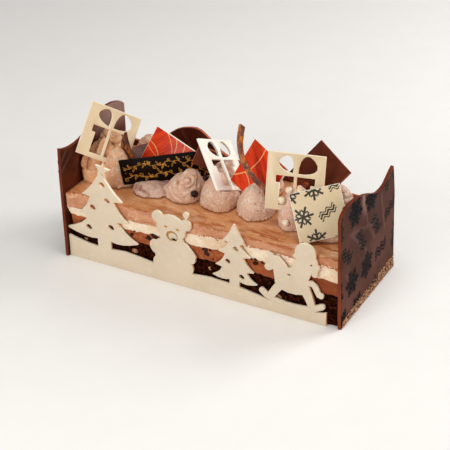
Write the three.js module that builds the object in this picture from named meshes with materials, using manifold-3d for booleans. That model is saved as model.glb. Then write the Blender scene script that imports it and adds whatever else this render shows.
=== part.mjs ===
// Yule log cake of four layers, boxed in by chocolate plates at both ends and along the back,
// with a cut-out white chocolate panel in front and piped mousse dollops on top that carry
// pearls, curls and thin chocolate squares.
// Millimetres. +X runs along the cake to the right, +Y to the back, +Z up. The origin is the
// middle of the footprint, on the surface that the cake stands on.

import * as THREE from 'three';
import { mergeVertices } from 'three/addons/utils/BufferGeometryUtils.js';
import Module from 'manifold-3d';

// ---------------------------------------------------------------- driving dimensions

const gap = 0.3; // air between pieces that touch
const cake = { length: 225, depth: 97, height: 52.5, front: -43.5, back: 43 };

// End plates: outer face at the foot or top, lean from upright, and the wavy top edge [y, z].
const plateThickness = 2.8;
const rightPlate = {
  foot: cake.length / 2,
  lean: 1.6,
  footEdge: [-46, cake.depth / 2],
  top: [[-45, 82], [-42.5, 85.6], [-34.6, 88], [-25.5, 88.7], [-12, 87], [-0.3, 83.3], [10.7, 78.4],
    [18, 76.6], [27, 76.6], [36, 79.2], [47.2, 82.3]],
  ripple: 1.2,
};
const leftPlate = {
  foot: -112.25,
  lean: 0.15,
  footEdge: [-cake.depth / 2, 42.5],
  top: [[-cake.depth / 2, 89.6], [-43.7, 87.6], [-37, 86], [-30, 85.6], [-20.1, 87], [-4, 92],
    [8, 96], [18.2, 97.4], [28, 95.9], [34.5, 93.2], [37.3, 90.4]],
  ripple: 1.4,
};
const backPlate = {
  inner: cake.back + gap,
  thickness: 2.6,
  ends: [-106.8, 106.2],
  top: [[-106.8, 58], [-92, 58.4], [-78, 66], [-65, 76.2], [-54, 80.2], [-45, 80.4], [-37, 74.4],
    [-27, 63.6], [-8, 58.6], [25, 58.8], [60, 55.6], [82, 53.6], [106.2, 54.4]],
  ripple: 1.5,
};

// Height of each boundary between layers, over the cake's length and depth.
const boundary = {
  floor: () => 0,
  brownieTop: (x, y) => 24.8 + 0.8 * Math.sin(x / 31 + 1.1) + 0.4 * Math.sin(x / 14 + y / 30),
  mousseTop: (x, y) => 34.7 + 1.5 * Math.sin((x + 12) / 36) + 0.4 * Math.sin(x / 12 + y / 30),
  creamTop: (x, y) => 43.3 + 2.9 * Math.tanh((x + 15) / 32) + 0.4 * Math.sin(x / 13 + y / 35),
  top: (x, y) => cake.height + 0.15 * Math.sin(x / 23) + 0.1 * Math.sin(y / 13 + x / 40),
};

// Front panel, a white chocolate stencil standing just clear of the layers.
const panel = { left: -109.1, right: 101.2, back: -44.4, thickness: 1.9 };
const snowBank = [[-109.1, 17.8], [-92, 14.4], [-76, 13.6], [-60, 15.3], [-36, 12.4], [-5, 11.9],
  [11, 13.4], [34, 12], [52, 9], [70, 7.6], [92, 8.4], [101.2, 10.4]];
const bigFir = {
  x: -77.7, foot: 12, top: 77, trunk: 5.7, under: 19.6, leftReach: 4,
  tiers: [[17.2, 56, 10.2], [21.4, 39.6, 12.5], [29, 24.5, 6]],
  star: { x: -75.9, z: 79.2, size: 6.4, turn: -9 },
  holes: [[1, 66.8], [4.4, 54.6], [-8.3, 46.4], [-12.7, 28.9], [6.7, 33.1]],
  hole: 2.1,
};
const smallFir = {
  x: 30.4, foot: 11, top: 61.8, trunk: 3.9, under: 15.6, leftReach: 0,
  tiers: [[9.1, 47.8, 4.3], [12.5, 38, 7.3], [15.1, 26.6, 9.8], [17.6, 17.5, 4]],
  holes: [[1.4, 42.7], [-5.1, 31.2], [5.8, 21.1]],
  hole: 1.8,
};

// Dollops: centre [x, y], radius, height above the cake's top, turn of the lumps, and how far
// the tip leans in x and y.
const dollops = {
  dollop_front_2: [-82.9, -13.8, 12.6, 29, 1.3, 0, 0],
  dollop_front_1: [-99.5, -11.5, 14, 30, 0.4, 1, 4],
  dollop_front_3: [-54, -12.5, 15.5, 6.8, 2.2, 0, 0],
  dollop_front_4: [-29.2, -10.1, 14.5, 22.5, 3.6, 5.5, 0],
  dollop_front_5: [-0.4, -9.3, 14.8, 26, 4.1, 1, 0],
  dollop_front_6: [28.8, -9.6, 14.5, 24, 5.2, 1.5, 0],
  dollop_front_7: [60.5, -11.5, 13.2, 31, 0.9, 3.5, 0],
  dollop_front_8: [86.5, -13, 15.5, 22, 2.7, 0, 0],
  dollop_back_1: [-98.5, 3, 13.5, 35.5, 3.1, 0, -3],
  dollop_back_2: [-80, 27, 13, 21.5, 1.8, 0, 0],
  dollop_back_3: [-44, 22, 14, 15, 0.2, 2, 0],
  dollop_back_4: [-12, 23, 14, 15, 4.6, -1, 1],
  dollop_back_5: [20, 22, 14, 16, 5.7, 1, 0],
  dollop_back_6: [53, 21, 14.5, 18, 2.4, 0, 2],
  dollop_back_7: [82, 14, 12.5, 24.5, 3.9, 0, 0],
};

// Thin pieces that are pressed against the front of a dollop, so that nothing of it stands
// between them and the front right corner of the cake.
const pressedInto = {
  dollop_front_1: ['gift_square_left'],
  dollop_front_2: ['message_plaque'],
  dollop_front_3: ['message_plaque'],
  dollop_front_5: ['gift_square_middle', 'red_square_right'],
  dollop_front_7: ['printed_square'],
  dollop_front_8: ['printed_square'],
};
const towardsFront = { direction: [0.42, -0.76, 0.5], reach: 34 };

// Thin chocolate pieces on top: centre, turn about Z, tilt about X and roll about Y in degrees.
const squareThickness = 1.8;
const squares = {
  gift_square_left: { centre: [-92.2, -10.6, 87.6], turn: [52.7, -23.8, 30.8], side: 39.6 },
  gift_square_middle: { centre: [-3.7, 2.6, 77.4], turn: [100.4, -37.4, 30.9], side: 40.5 },
  gift_square_right: { centre: [60.4, -11.8, 85.4], turn: [12.2, -15.7, 0], side: 40.8 },
  printed_square: { centre: [83.4, -20.9, 71.2], turn: [23.1, -33.2, -14.5], side: 35.2 },
  red_square_left: { centre: [-52.5, 4.1, 69.3], turn: [2.8, -19.9, 21.8], side: 37.2 },
  red_square_right: { centre: [28.6, -4.3, 80.5], turn: [-15.1, -23, -71.2], side: 36.6 },
  milk_square: { centre: [69.5, 6.4, 85.7], turn: [-8.8, -40.1, 26.6], side: 34.9 },
};
const plaque = { centre: [-46.4, -7.8, 70.3], turn: [24.2, 2, -8.8], width: 65.7, height: 20.3 };
const shards = {
  shard_left: { centre: [-75, 13, 62], turn: [8, -6, -24], width: 30, height: 22 },
  shard_middle: { centre: [-16.9, -2.3, 83.1], turn: [25, -5, 23], width: 13, height: 15 },
};

// Curls: a strip bent along a curve, with its width, thickness and the share of the width that is
// left at the foot and at the tip.
const tallCurl = {
  path: [[51.5, -15.3, 63.5], [46, -15.3, 71.2], [39, -15, 76.6], [31.4, -14.3, 81.4],
    [24.6, -14, 88.2], [20.2, -14, 97], [18.9, -14, 106], [19.4, -14, 113.7], [20.6, -14, 121]],
  width: 5, thickness: 2.2, footWidth: 0.65, tipWidth: 1, twist: 25,
};
const smallCurl = {
  path: [[-71.6, -10, 65.3], [-75.2, -10.4, 72.3], [-77.6, -10.6, 78.9],
    [-78.1, -10.4, 85.9], [-77.4, -10.2, 93.2]],
  width: 8.5, thickness: 2.4, footWidth: 1, tipWidth: 0.12, twist: 10,
};

// Pearls: dollop, angle round it from +X, height as a share of the dollop's, radius.
const pearls = {
  pearl_white_1: ['dollop_front_7', -143, 0.86, 2.6],
  pearl_white_2: ['dollop_front_7', -60, 0.92, 2.4],
  pearl_white_3: ['dollop_front_7', -141, 0.62, 2.7],
  pearl_white_4: ['dollop_front_7', -93, 0.23, 2.6],
  pearl_copper: ['dollop_front_7', 58, 0.92, 2.4],
  pearl_dark_1: ['dollop_front_4', -34, 0.33, 2.6],
  pearl_dark_2: ['dollop_front_5', 178, 0.65, 2.4],
};

// ---------------------------------------------------------------- materials

const finish = (name, color, roughness) =>
  Object.assign(new THREE.MeshStandardMaterial({ color, roughness, metalness: 0 }), { name });

const material = {
  plates: finish('dark_milk_chocolate', 0x5f3826, 0.35),
  ivory: finish('white_chocolate', 0xeadfbe, 0.4),
  milk: finish('milk_chocolate', 0x70402c, 0.35),
  red: finish('red_chocolate', 0xc63a22, 0.35),
  dark: finish('dark_chocolate', 0x1e0c08, 0.3),
  brownie: finish('brownie', 0x2f150b, 0.9),
  milkMousse: finish('milk_mousse', 0x96502f, 0.75),
  cream: finish('white_cream', 0xecd9b6, 0.7),
  topMousse: finish('praline_mousse', 0xc78e60, 0.6),
  dollop: finish('piped_mousse', 0xd3a188, 0.75),
  pearlWhite: finish('white_pearl', 0xf3e6cf, 0.3),
  pearlCopper: finish('copper_pearl', 0x8c3b1c, 0.3),
};

// ---------------------------------------------------------------- solids

const wasm = await Module();
wasm.setup();

const logCake = new THREE.Group();
logCake.name = 'yule_log_cake';

function addNode(name, geometry, look) {
  const mesh = new THREE.Mesh(geometry, look);
  mesh.name = name;
  logCake.add(mesh);
  return mesh;
}

// A closed geometry as a solid that can be joined or cut.
function solidOf(geometry) {
  const bare = new THREE.BufferGeometry();
  bare.setAttribute('position', geometry.getAttribute('position').clone());
  if (geometry.index) bare.setIndex(geometry.index.clone());
  const merged = mergeVertices(bare, 1e-4);
  const index = merged.index.array;
  const triangles = [];
  for (let i = 0; i < index.length; i += 3) {
    const [a, b, c] = [index[i], index[i + 1], index[i + 2]];
    if (a !== b && b !== c && c !== a) triangles.push(a, b, c);
  }
  return new wasm.Manifold(new wasm.Mesh({
    numProp: 3,
    vertProperties: new Float32Array(merged.getAttribute('position').array),
    triVerts: new Uint32Array(triangles),
  }));
}

function geometryOf(solid) {
  const mesh = solid.getMesh();
  const geometry = new THREE.BufferGeometry();
  geometry.setAttribute('position', new THREE.BufferAttribute(new Float32Array(mesh.vertProperties), 3));
  geometry.setIndex(new THREE.BufferAttribute(new Uint32Array(mesh.triVerts), 1));
  geometry.computeVertexNormals();
  return geometry;
}

// The largest body of a solid, without the scraps that a cut leaves beside it.
function mainBody(solid) {
  return solid.decompose().reduce((a, b) => (a.volume() > b.volume() ? a : b));
}

// Moves every vertex of a geometry by a function of its place.
function reshape(geometry, place) {
  const position = geometry.getAttribute('position');
  const point = new THREE.Vector3();
  for (let i = 0; i < position.count; i++) {
    point.fromBufferAttribute(position, i);
    position.setXYZ(i, ...place(point.x, point.y, point.z));
  }
  geometry.computeVertexNormals();
  return geometry;
}

// An outline in X and Z, extruded to the given thickness towards the viewer, from y = 0.
function upright(shape, thickness, curveSegments = 6) {
  const options = { depth: thickness, bevelEnabled: false, curveSegments };
  return new THREE.ExtrudeGeometry(shape, options).rotateX(Math.PI / 2);
}

// ---------------------------------------------------------------- end and back plates

const smooth = (value, from, to) => THREE.MathUtils.smoothstep(value, from, to);
const leanOf = (plate) => Math.tan(THREE.MathUtils.degToRad(plate.lean));
const innerFace = {
  left: (z) => leftPlate.foot + plateThickness - z * leanOf(leftPlate),
  right: (z) => rightPlate.foot - plateThickness - z * leanOf(rightPlate),
};

// A sheet that stands on its straight foot and ends in a wavy top edge. along and up are the
// numbers of cells; place turns distance along, distance through and height into a point.
function standingSheet(foot, top, along, up, place) {
  const edge = new THREE.SplineCurve(top.map(([s, z]) => new THREE.Vector2(s, z)));
  const geometry = new THREE.BoxGeometry(1, 1, 1, along, 1, up);
  return reshape(geometry, (x, y, z) => {
    const crest = edge.getPoint(x + 0.5);
    const share = z + 0.5;
    const s = THREE.MathUtils.lerp(foot[0] + (foot[1] - foot[0]) * (x + 0.5), crest.x, share);
    return place(s, y + 0.5, crest.y * share);
  });
}

const freeEdge = (z) => smooth(z, cake.height + 4, 92);

function rightPlateGeometry() {
  const { foot, footEdge, top, ripple } = rightPlate;
  return standingSheet(footEdge, top, 16, 4, (y, through, z) => [
    foot - z * leanOf(rightPlate) - through * plateThickness
      + ripple * freeEdge(z) * Math.sin(y / 13 + 0.6),
    y, z,
  ]);
}

function leftPlateGeometry() {
  const { foot, footEdge, top, ripple } = leftPlate;
  return standingSheet(footEdge, top, 16, 4, (y, through, z) => [
    foot - z * leanOf(leftPlate) + (1 - through) * plateThickness
      + ripple * freeEdge(z) * (0.5 - 0.5 * Math.cos((y - 17) / 9)),
    y, z,
  ]);
}

function backPlateGeometry() {
  const { inner, thickness, ends, top, ripple } = backPlate;
  return standingSheet(ends, top, 28, 4, (x, through, z) => [
    x,
    inner + through * thickness - ripple * smooth(z, 60, 78) * (1 + Math.cos((x + 52) / 20)),
    z,
  ]);
}

addNode('end_plate_right', rightPlateGeometry(), material.plates);
addNode('end_plate_left', leftPlateGeometry(), material.plates);
addNode('back_plate', backPlateGeometry(), material.plates);

// ---------------------------------------------------------------- layers

// One layer from boundary to boundary, its ends following the plates. The front face is set back
// by inset and waves by rough. The upper layers bulge out and fill the left end, and the lower
// ones stay short of it.
function layerGeometry(lower, upper, inset, rough, rows = 1) {
  const geometry = new THREE.BoxGeometry(1, 1, 1, 22, 4, rows);
  return reshape(geometry, (u, v, w) => {
    const share = w + 0.5;
    const guessX = u * cake.length;
    const y0 = cake.front + inset;
    const y = y0 + (cake.back - y0) * (v + 0.5);
    const bottom = lower(guessX, y) + (lower === boundary.floor ? 0 : gap);
    const z = THREE.MathUtils.lerp(bottom, upper(guessX, y), share);
    const left = innerFace.left(z) + gap + 2.6 * (1 - smooth(z, 30, 42));
    const right = innerFace.right(z) - gap;
    const x = left + (right - left) * (u + 0.5);
    const wave = rough * (Math.sin(x * 1.7 + z) + Math.sin(x * 0.6 - z * 2));
    const overhang = 2.4 * smooth(-x, 101, 108) * smooth(z, 33, 40);
    return [x, v < -0.49 ? y + wave - overhang : y, z];
  });
}

// Lumps of nut or chocolate set flush into the front face: [x, z, half width, half height].
function withLumps(geometry, inset, lumps) {
  let solid = solidOf(geometry);
  for (const [x, z, wide, high] of lumps) {
    const lump = new THREE.IcosahedronGeometry(1, 0).rotateZ(x).scale(wide, 1.6, high);
    solid = solid.add(solidOf(lump.translate(x, cake.front + inset + 1.1, z)));
  }
  return geometryOf(mainBody(solid));
}

const nuts = [[-53, 13, 2.6, 2], [-90, 19.5, 2.2, 1.4], [67, 8, 2.2, 1.6], [9, 19, 2, 1.6],
  [-14, 20, 1.8, 1.5], [104, 12, 1.5, 1.8]];
const chips = [[-40.5, 30.2, 3.6, 1.9], [-55, 30.4, 2, 1.3], [7.4, 30.4, 2.2, 1.6],
  [46, 33.4, 2.4, 1.2], [-99, 29, 1.8, 1.3], [84, 29.5, 1.9, 1.4]];

const { floor, brownieTop, mousseTop, creamTop, top: cakeTop } = boundary;
const brownie = layerGeometry(floor, brownieTop, 0.9, 0.3, 2);
const milkMousse = layerGeometry(brownieTop, mousseTop, 0.5, 0.12);
const whiteCream = layerGeometry(mousseTop, creamTop, 0.3, 0.1);
const topLayer = solidOf(layerGeometry(creamTop, cakeTop, 0.2, 0.05));
addNode('brownie_layer', withLumps(brownie, 0.9, nuts), material.brownie);
addNode('milk_mousse_layer', withLumps(milkMousse, 0.5, chips), material.milkMousse);
addNode('white_cream_layer', whiteCream, material.cream);

// ---------------------------------------------------------------- front panel

// Flat pieces of the stencil. All are as thick as the panel, so joining them gives one sheet.
const sheetOf = (shape, segments) => solidOf(upright(shape, panel.thickness, segments));
const joined = (solids) => solids.reduce((a, b) => a.add(b));

function disc(x, z, wide, high = wide, turn = 0) {
  const shape = new THREE.Shape();
  shape.absellipse(x, z, wide, high, 0, Math.PI * 2, false, THREE.MathUtils.degToRad(turn));
  return sheetOf(shape, 7);
}

function polygon(points) {
  return sheetOf(new THREE.Shape(points.map(([x, z]) => new THREE.Vector2(x, z))), 1);
}

// A limb along a curve through the points, its width going from first to last, with round ends.
function limb(points, first, last, steps = 5) {
  const curve = new THREE.SplineCurve(points.map(([x, z]) => new THREE.Vector2(x, z)));
  const rim = (share, turn) => {
    const middle = curve.getPoint(share);
    const heading = curve.getTangent(share).angle() + turn;
    const half = THREE.MathUtils.lerp(first, last, share) / 2;
    return [middle.x + half * Math.cos(heading), middle.y + half * Math.sin(heading)];
  };
  const outline = [];
  for (let i = 0; i <= steps; i++) outline.push(rim(i / steps, -Math.PI / 2));
  for (let i = 1; i < 4; i++) outline.push(rim(1, (i / 4 - 0.5) * Math.PI));
  for (let i = steps; i >= 0; i--) outline.push(rim(i / steps, Math.PI / 2));
  for (let i = 1; i < 4; i++) outline.push(rim(0, (i / 4 + 0.5) * Math.PI));
  return polygon(outline);
}

function star({ x, z, size, turn }) {
  const points = [];
  for (let i = 0; i < 10; i++) {
    const angle = THREE.MathUtils.degToRad(90 + turn + i * 36);
    const reach = i % 2 ? size * 0.42 : size;
    points.push([x + reach * Math.cos(angle), z + reach * Math.sin(angle)]);
  }
  return polygon(points);
}

// A fir: each tier sags from the notch above it to its tips, then cuts back to the next notch.
function fir({ x, foot, top, trunk, under, leftReach, tiers, holes, hole }) {
  const outline = new THREE.Shape();
  const sides = [];
  let [startWide, startHigh] = [0.6, top];
  for (const [tip, height, notch] of tiers) {
    sides.push({ startWide, startHigh, tip, height });
    [startWide, startHigh] = [notch, height - 1];
  }
  const last = sides.at(-1);
  const bend = ({ startWide, startHigh, tip, height }) => [
    (startWide + tip) * 0.42, height + (startHigh - height) * 0.36,
  ];
  outline.moveTo(-trunk, foot);
  outline.lineTo(-trunk, under + 1.5);
  outline.quadraticCurveTo(-last.tip * 0.5, under - 1.2, -last.tip - leftReach, last.height);
  for (const side of [...sides].reverse()) {
    const [wide, high] = bend(side);
    if (side !== last) outline.lineTo(-side.tip, side.height);
    outline.quadraticCurveTo(-wide, high, -side.startWide, side.startHigh);
  }
  for (const side of sides) {
    outline.lineTo(side.startWide, side.startHigh);
    outline.quadraticCurveTo(...bend(side), side.tip, side.height);
  }
  outline.quadraticCurveTo(last.tip * 0.5, under - 1.2, trunk, under + 1.5);
  outline.lineTo(trunk, foot);
  const tree = solidOf(upright(outline, panel.thickness, 4).translate(x, 0, 0));
  const cuts = joined(holes.map(([dx, z]) => drill(x + dx, z, hole * 1.25, hole, -35)));
  return tree.subtract(cuts);
}

// A cutter through the panel's whole thickness.
function drill(x, z, wide, high = wide, turn = 0) {
  const shape = new THREE.Shape();
  shape.absellipse(x, z, wide, high, 0, Math.PI * 2, false, THREE.MathUtils.degToRad(turn));
  return solidOf(upright(shape, panel.thickness + 2, 6).translate(0, 1, 0));
}

function teddyBear() {
  const body = joined([
    disc(-20.2, 45.6, 12, 10.8), disc(-31, 52.6, 4.7), disc(-8, 51, 4.4),
    limb([[-7.6, 53], [-7.5, 58]], 1.6, 1.6, 1), disc(-7.5, 59.4, 2.4),
    disc(-19.8, 35, 10, 7), disc(-19.6, 21.5, 14.5, 15.5),
    disc(-33.5, 27, 4.6, 6, 30), limb([[-29, 31], [-33, 28]], 8, 8, 1),
    limb([[-11, 32], [-5, 26], [-4.8, 24]], 9, 7.6), disc(-30.5, 14.8, 5.6, 6.4), disc(-9, 16, 6.2, 7),
  ]);
  const eyes = drill(-24.4, 46.2, 1.5, 1).add(drill(-14.6, 45.8, 1.5, 1));
  const face = eyes.add(drill(-18.8, 36.6, 2, 1.2, 10));
  return body.subtract(face);
}

function rockingHorse() {
  const horse = joined([
    limb([[51.9, 14.9], [57, 11.2], [68, 8.4], [78, 8.2], [88, 9.4], [93.6, 12], [98, 14.4]], 4.4, 4.4, 8),
    disc(75, 25.6, 13.2, 6.9), limb([[66, 23.5], [61.9, 17.6], [58.4, 12]], 6.6, 5.4),
    limb([[84.6, 25], [87.2, 20.2], [90.4, 12]], 8.6, 5.2),
    limb([[69.3, 27], [66.4, 35.6], [63.2, 41.4]], 15, 8.4),
    limb([[62.6, 41.4], [59.6, 38.6], [56.9, 35.5]], 8.2, 5.8),
    polygon([[55.8, 47.7], [60.4, 45.9], [63, 42], [57.5, 36.5], [55.7, 39.4], [56.5, 43.6]]),
    limb([[87.8, 30.4], [90.6, 30.6], [93.2, 27.6], [94.6, 23.8], [96.9, 22.8]], 4, 4.2),
  ]);
  const child = joined([
    disc(84.8, 53, 8, 8.2), disc(77.4, 49.6, 1.9, 1.5),
    limb([[85.2, 48], [83.2, 42], [81, 36], [78.4, 28]], 14, 14.6),
    limb([[81, 38.5], [76, 37], [71.2, 35.4]], 5.4, 4.6),
    limb([[91.4, 50], [92.6, 45], [91.8, 38.4]], 3.6, 4), disc(93, 44.2, 2.5),
  ]);
  const openings = joined([drill(72.8, 33.3, 1.5, 1, -10), drill(89.4, 45.4, 1.1, 0.8, 50)]);
  return horse.add(child).subtract(openings);
}

// Traces the outline of a joined sheet on its front face and extrudes it afresh, so that no
// seam between the joined pieces is left inside.
function retraced(sheet) {
  const { vertProperties, triVerts } = sheet.getMesh();
  const isFront = (v) => vertProperties[v * 3 + 1] < -panel.thickness + 1e-3;
  const after = new Map();
  const inside = new Set();
  for (let t = 0; t < triVerts.length; t += 3) {
    const corners = [...triVerts.subarray(t, t + 3)];
    if (!corners.every(isFront)) continue;
    corners.forEach((from, i) => inside.add(`${from} ${corners[(i + 1) % 3]}`));
  }
  for (const edge of inside) {
    const [from, to] = edge.split(' ');
    if (!inside.has(`${to} ${from}`)) after.set(Number(from), Number(to));
  }
  const loops = [];
  while (after.size) {
    const [start] = after.keys();
    const loop = [];
    for (let v = start; after.has(v);) {
      loop.push(new THREE.Vector2(vertProperties[v * 3], vertProperties[v * 3 + 2]));
      const next = after.get(v);
      after.delete(v);
      v = next;
    }
    loops.push(withoutStraights(loop));
  }
  loops.sort((a, b) => Math.abs(THREE.ShapeUtils.area(b)) - Math.abs(THREE.ShapeUtils.area(a)));
  const shape = new THREE.Shape(loops[0]);
  shape.holes = loops.slice(1).map((loop) => new THREE.Path(loop));
  return shape;
}

// Leaves out points that lie within a hair of the line between their neighbours.
function withoutStraights(loop) {
  const kept = [];
  loop.forEach((point, i) => {
    const before = kept.at(-1) ?? loop.at(-1);
    const next = loop[(i + 1) % loop.length];
    const base = next.clone().sub(before);
    const off = Math.abs(base.cross(point.clone().sub(before))) / (base.length() || 1);
    if (off > 0.04 && point.distanceTo(before) > 0.15) kept.push(point);
  });
  return kept;
}

function frontPanel() {
  const crest = new THREE.SplineCurve(snowBank.map(([x, z]) => new THREE.Vector2(x, z)));
  const bank = crest.getPoints(22).map((p) => [p.x, p.y]);
  const strip = polygon([[panel.left, 0], [panel.right, 0], ...bank.reverse()]);
  let sheet = joined([strip, fir(bigFir), star(bigFir.star), teddyBear(), fir(smallFir), rockingHorse()]);
  const reach = 140;
  const end = new THREE.BoxGeometry(reach, 20, reach).translate(panel.left - reach / 2, 0, reach / 2 - 5);
  sheet = mainBody(sheet.subtract(solidOf(end)));
  return upright(retraced(sheet), panel.thickness, 1).translate(0, panel.back, 0);
}

addNode('front_panel', frontPanel(), material.ivory);

// ---------------------------------------------------------------- squares, plaque and shards

function turnOf(degrees) {
  const [aboutZ, aboutX, aboutY] = degrees.map(THREE.MathUtils.degToRad);
  return new THREE.Euler(aboutX, aboutY, aboutZ, 'ZXY');
}

// A teardrop-shaped hole from its tip, along an angle, for the loops of a bow.
function teardrop(x, z, angle, length, wide) {
  const turn = THREE.MathUtils.degToRad(angle);
  const at = (along, across) => [
    x + along * Math.cos(turn) - across * Math.sin(turn),
    z + along * Math.sin(turn) + across * Math.cos(turn),
  ];
  const hole = new THREE.Shape();
  hole.moveTo(x, z);
  hole.bezierCurveTo(...at(length * 0.45, wide * 0.75), ...at(length, wide * 0.95), ...at(length, 0));
  hole.bezierCurveTo(...at(length, -wide * 0.95), ...at(length * 0.45, -wide * 0.75), x, z);
  return hole;
}

function rectangle(wide, high) {
  return new THREE.Shape([[-1, -1], [1, -1], [1, 1], [-1, 1]].map(([x, z]) =>
    new THREE.Vector2(x * wide / 2, z * high / 2)));
}

// Windows of the parcel, left and right of its ribbon, shrunk by margin.
function parcelWindows(side, margin = 0) {
  return [-1, 1].map((hand) => new THREE.Shape([
    [0.025, 0.1], [0.34, 0.1], [0.34, -0.03], [0.265, -0.03], [0.265, -0.41], [0.025, -0.41],
  ].map(([x, z]) => new THREE.Vector2(
    hand * (x * side + (x < 0.1 ? margin : -margin)),
    z * side + (z > 0 ? -margin : margin),
  ))));
}

// A sheet of the given outline with openings cut through it.
function pierced(shape, thickness, openings) {
  const sheet = solidOf(upright(shape, thickness));
  return openings.reduce((solid, opening) =>
    solid.subtract(solidOf(upright(opening, thickness + 2).translate(0, 1, 0))), sheet);
}

// A square with a parcel and the two loops of its bow cut out of it.
function giftSquare(side) {
  const loops = [
    teardrop(-0.055 * side, 0.15 * side, 124, 0.33 * side, 0.2 * side),
    teardrop(0.04 * side, 0.15 * side, 43, 0.37 * side, 0.24 * side),
  ];
  return pierced(rectangle(side, side), squareThickness, [...parcelWindows(side), ...loops]);
}

const slots = {}; // room that each thin piece needs in the mousse round it
const sweeps = {}; // the same room, drawn out from the piece's face towards the front

function addThinPiece(name, solid, room, { centre, turn, side, width, height }, look) {
  const mesh = addNode(name, geometryOf(solid).translate(0, squareThickness / 2, 0), look);
  mesh.position.set(...centre);
  mesh.rotation.copy(turnOf(turn));
  mesh.updateMatrix();
  const place = geometryOf(room).translate(0, squareThickness / 2 + gap, 0).applyMatrix4(mesh.matrix);
  slots[name] = solidOf(place);
  const [wide, high] = [side ?? width, side ?? height].map((size) => size + 2 * gap);
  const drawnOut = new THREE.Vector3(...towardsFront.direction).multiplyScalar(towardsFront.reach);
  const corner = new THREE.Vector3();
  const sweep = new THREE.BoxGeometry(wide, squareThickness + 2 * gap, high);
  sweeps[name] = solidOf(reshape(sweep, (x, y, z) => {
    corner.set(x, y, z).applyMatrix4(mesh.matrix);
    return (y < 0 ? corner.add(drawnOut) : corner).toArray();
  }));
}

const slab = (wide, high, thickness) => solidOf(upright(rectangle(wide, high), thickness));
const roomFor = (wide, high) => slab(wide + 2 * gap, high + 2 * gap, squareThickness + 2 * gap);
const squareLook = (name) => (name.startsWith('red') ? material.red
  : name.startsWith('milk') ? material.milk : material.ivory);

for (const [name, square] of Object.entries(squares)) {
  const { side } = square;
  if (name.startsWith('gift')) {
    const room = pierced(rectangle(side + 2 * gap, side + 2 * gap), squareThickness + 2 * gap,
      parcelWindows(side, gap));
    addThinPiece(name, giftSquare(side), room, square, squareLook(name));
  } else {
    addThinPiece(name, slab(side, side, squareThickness), roomFor(side, side), square, squareLook(name));
  }
}
for (const [name, piece, look] of [
  ['message_plaque', plaque, material.dark],
  ['shard_left', shards.shard_left, material.dark],
  ['shard_middle', shards.shard_middle, material.milk],
]) {
  const { width, height } = piece;
  addThinPiece(name, slab(width, height, squareThickness), roomFor(width, height), piece, look);
}

// ---------------------------------------------------------------- curls

// A flat strip swept along its path, with the given twist against the viewer's plane.
function curlGeometry({ path, width, thickness, footWidth, tipWidth, twist }, extra = 0) {
  const curve = new THREE.CatmullRomCurve3(path.map((p) => new THREE.Vector3(...p)));
  const steps = 18;
  const geometry = new THREE.BoxGeometry(1, 1, 1, 1, 1, steps);
  const turn = THREE.MathUtils.degToRad(twist);
  return reshape(geometry, (x, y, z) => {
    const share = z + 0.5;
    const middle = curve.getPoint(share);
    const along = curve.getTangent(share);
    const flat = new THREE.Vector3(-along.z, 0, along.x).normalize();
    const across = flat.clone().multiplyScalar(Math.cos(turn)).add(new THREE.Vector3(0, Math.sin(turn), 0));
    const through = new THREE.Vector3().crossVectors(along, across).normalize();
    const narrow = share > 0.6 ? THREE.MathUtils.lerp(1, tipWidth, (share - 0.6) / 0.4)
      : THREE.MathUtils.lerp(footWidth, 1, Math.min(1, share / 0.3));
    middle.addScaledVector(across, x * (width * narrow + 2 * extra));
    middle.addScaledVector(through, y * (thickness + 2 * extra));
    return middle.toArray();
  });
}

const facingOut = (geometry) => (solidOf(geometry).volume() > 0 ? geometry : flipped(geometry));

function flipped(geometry) {
  const index = geometry.index;
  for (let i = 0; i < index.count; i += 3) {
    const [a, b] = [index.getX(i), index.getX(i + 1)];
    index.setX(i, b);
    index.setX(i + 1, a);
  }
  geometry.computeVertexNormals();
  return geometry;
}

for (const [name, curl] of Object.entries({ tall_curl: tallCurl, small_curl: smallCurl })) {
  addNode(name, facingOut(curlGeometry(curl)), material.milk);
  slots[name] = solidOf(facingOut(curlGeometry(curl, gap)));
}

// ---------------------------------------------------------------- dollops and pearls

// Radius of a dollop at a share of its height: full low down, closing in a round top.
const bulge = (share) => Math.max(0, 1 - share ** 2.1) ** 0.6 * (0.93 + 0.07 * smooth(share, 0, 0.22));
const dollopFoot = cake.height + 0.25 + gap;

// A point on a dollop's skin, or on its axis where reachShare is 0.
function dollopPoint(dollop, angle, share, extra = 0, reachShare = 1) {
  const [x, y, radius, height, phase, leanX, leanY] = dollop;
  const broad = 0.045 * Math.sin(3 * angle + phase + 2.5 * share);
  const fine = 0.025 * Math.sin(5 * angle - 3 * phase);
  const reach = (radius * (1 + broad + fine) + extra) * bulge(share) * reachShare;
  return new THREE.Vector3(
    x + reach * Math.cos(angle) + leanX * share ** 1.5,
    y + reach * Math.sin(angle) + leanY * share ** 1.5,
    dollopFoot + (height + extra) * share,
  );
}

function dollopSolid(dollop, extra = 0) {
  const rows = [0, 0.16, 0.38, 0.6, 0.8, 0.94];
  const skin = rows.map((share) => new THREE.Vector2(1, share));
  const geometry = new THREE.LatheGeometry([new THREE.Vector2(0, 0), ...skin, new THREE.Vector2(0, 1)], 14);
  reshape(geometry, (x, share, z) =>
    dollopPoint(dollop, Math.atan2(z, x), share, extra, Math.hypot(x, z) > 0.5 ? 1 : 0).toArray());
  const solid = solidOf(geometry);
  return solid.volume() > 0 ? solid : solidOf(flipped(geometry));
}

function pearlCentre([dollop, angle, share, radius]) {
  const around = THREE.MathUtils.degToRad(angle);
  const skin = dollopPoint(dollops[dollop], around, share);
  const outward = new THREE.Vector3(Math.cos(around), Math.sin(around), share * 1.2).normalize();
  return skin.addScaledVector(outward, radius * 0.45);
}

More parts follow.
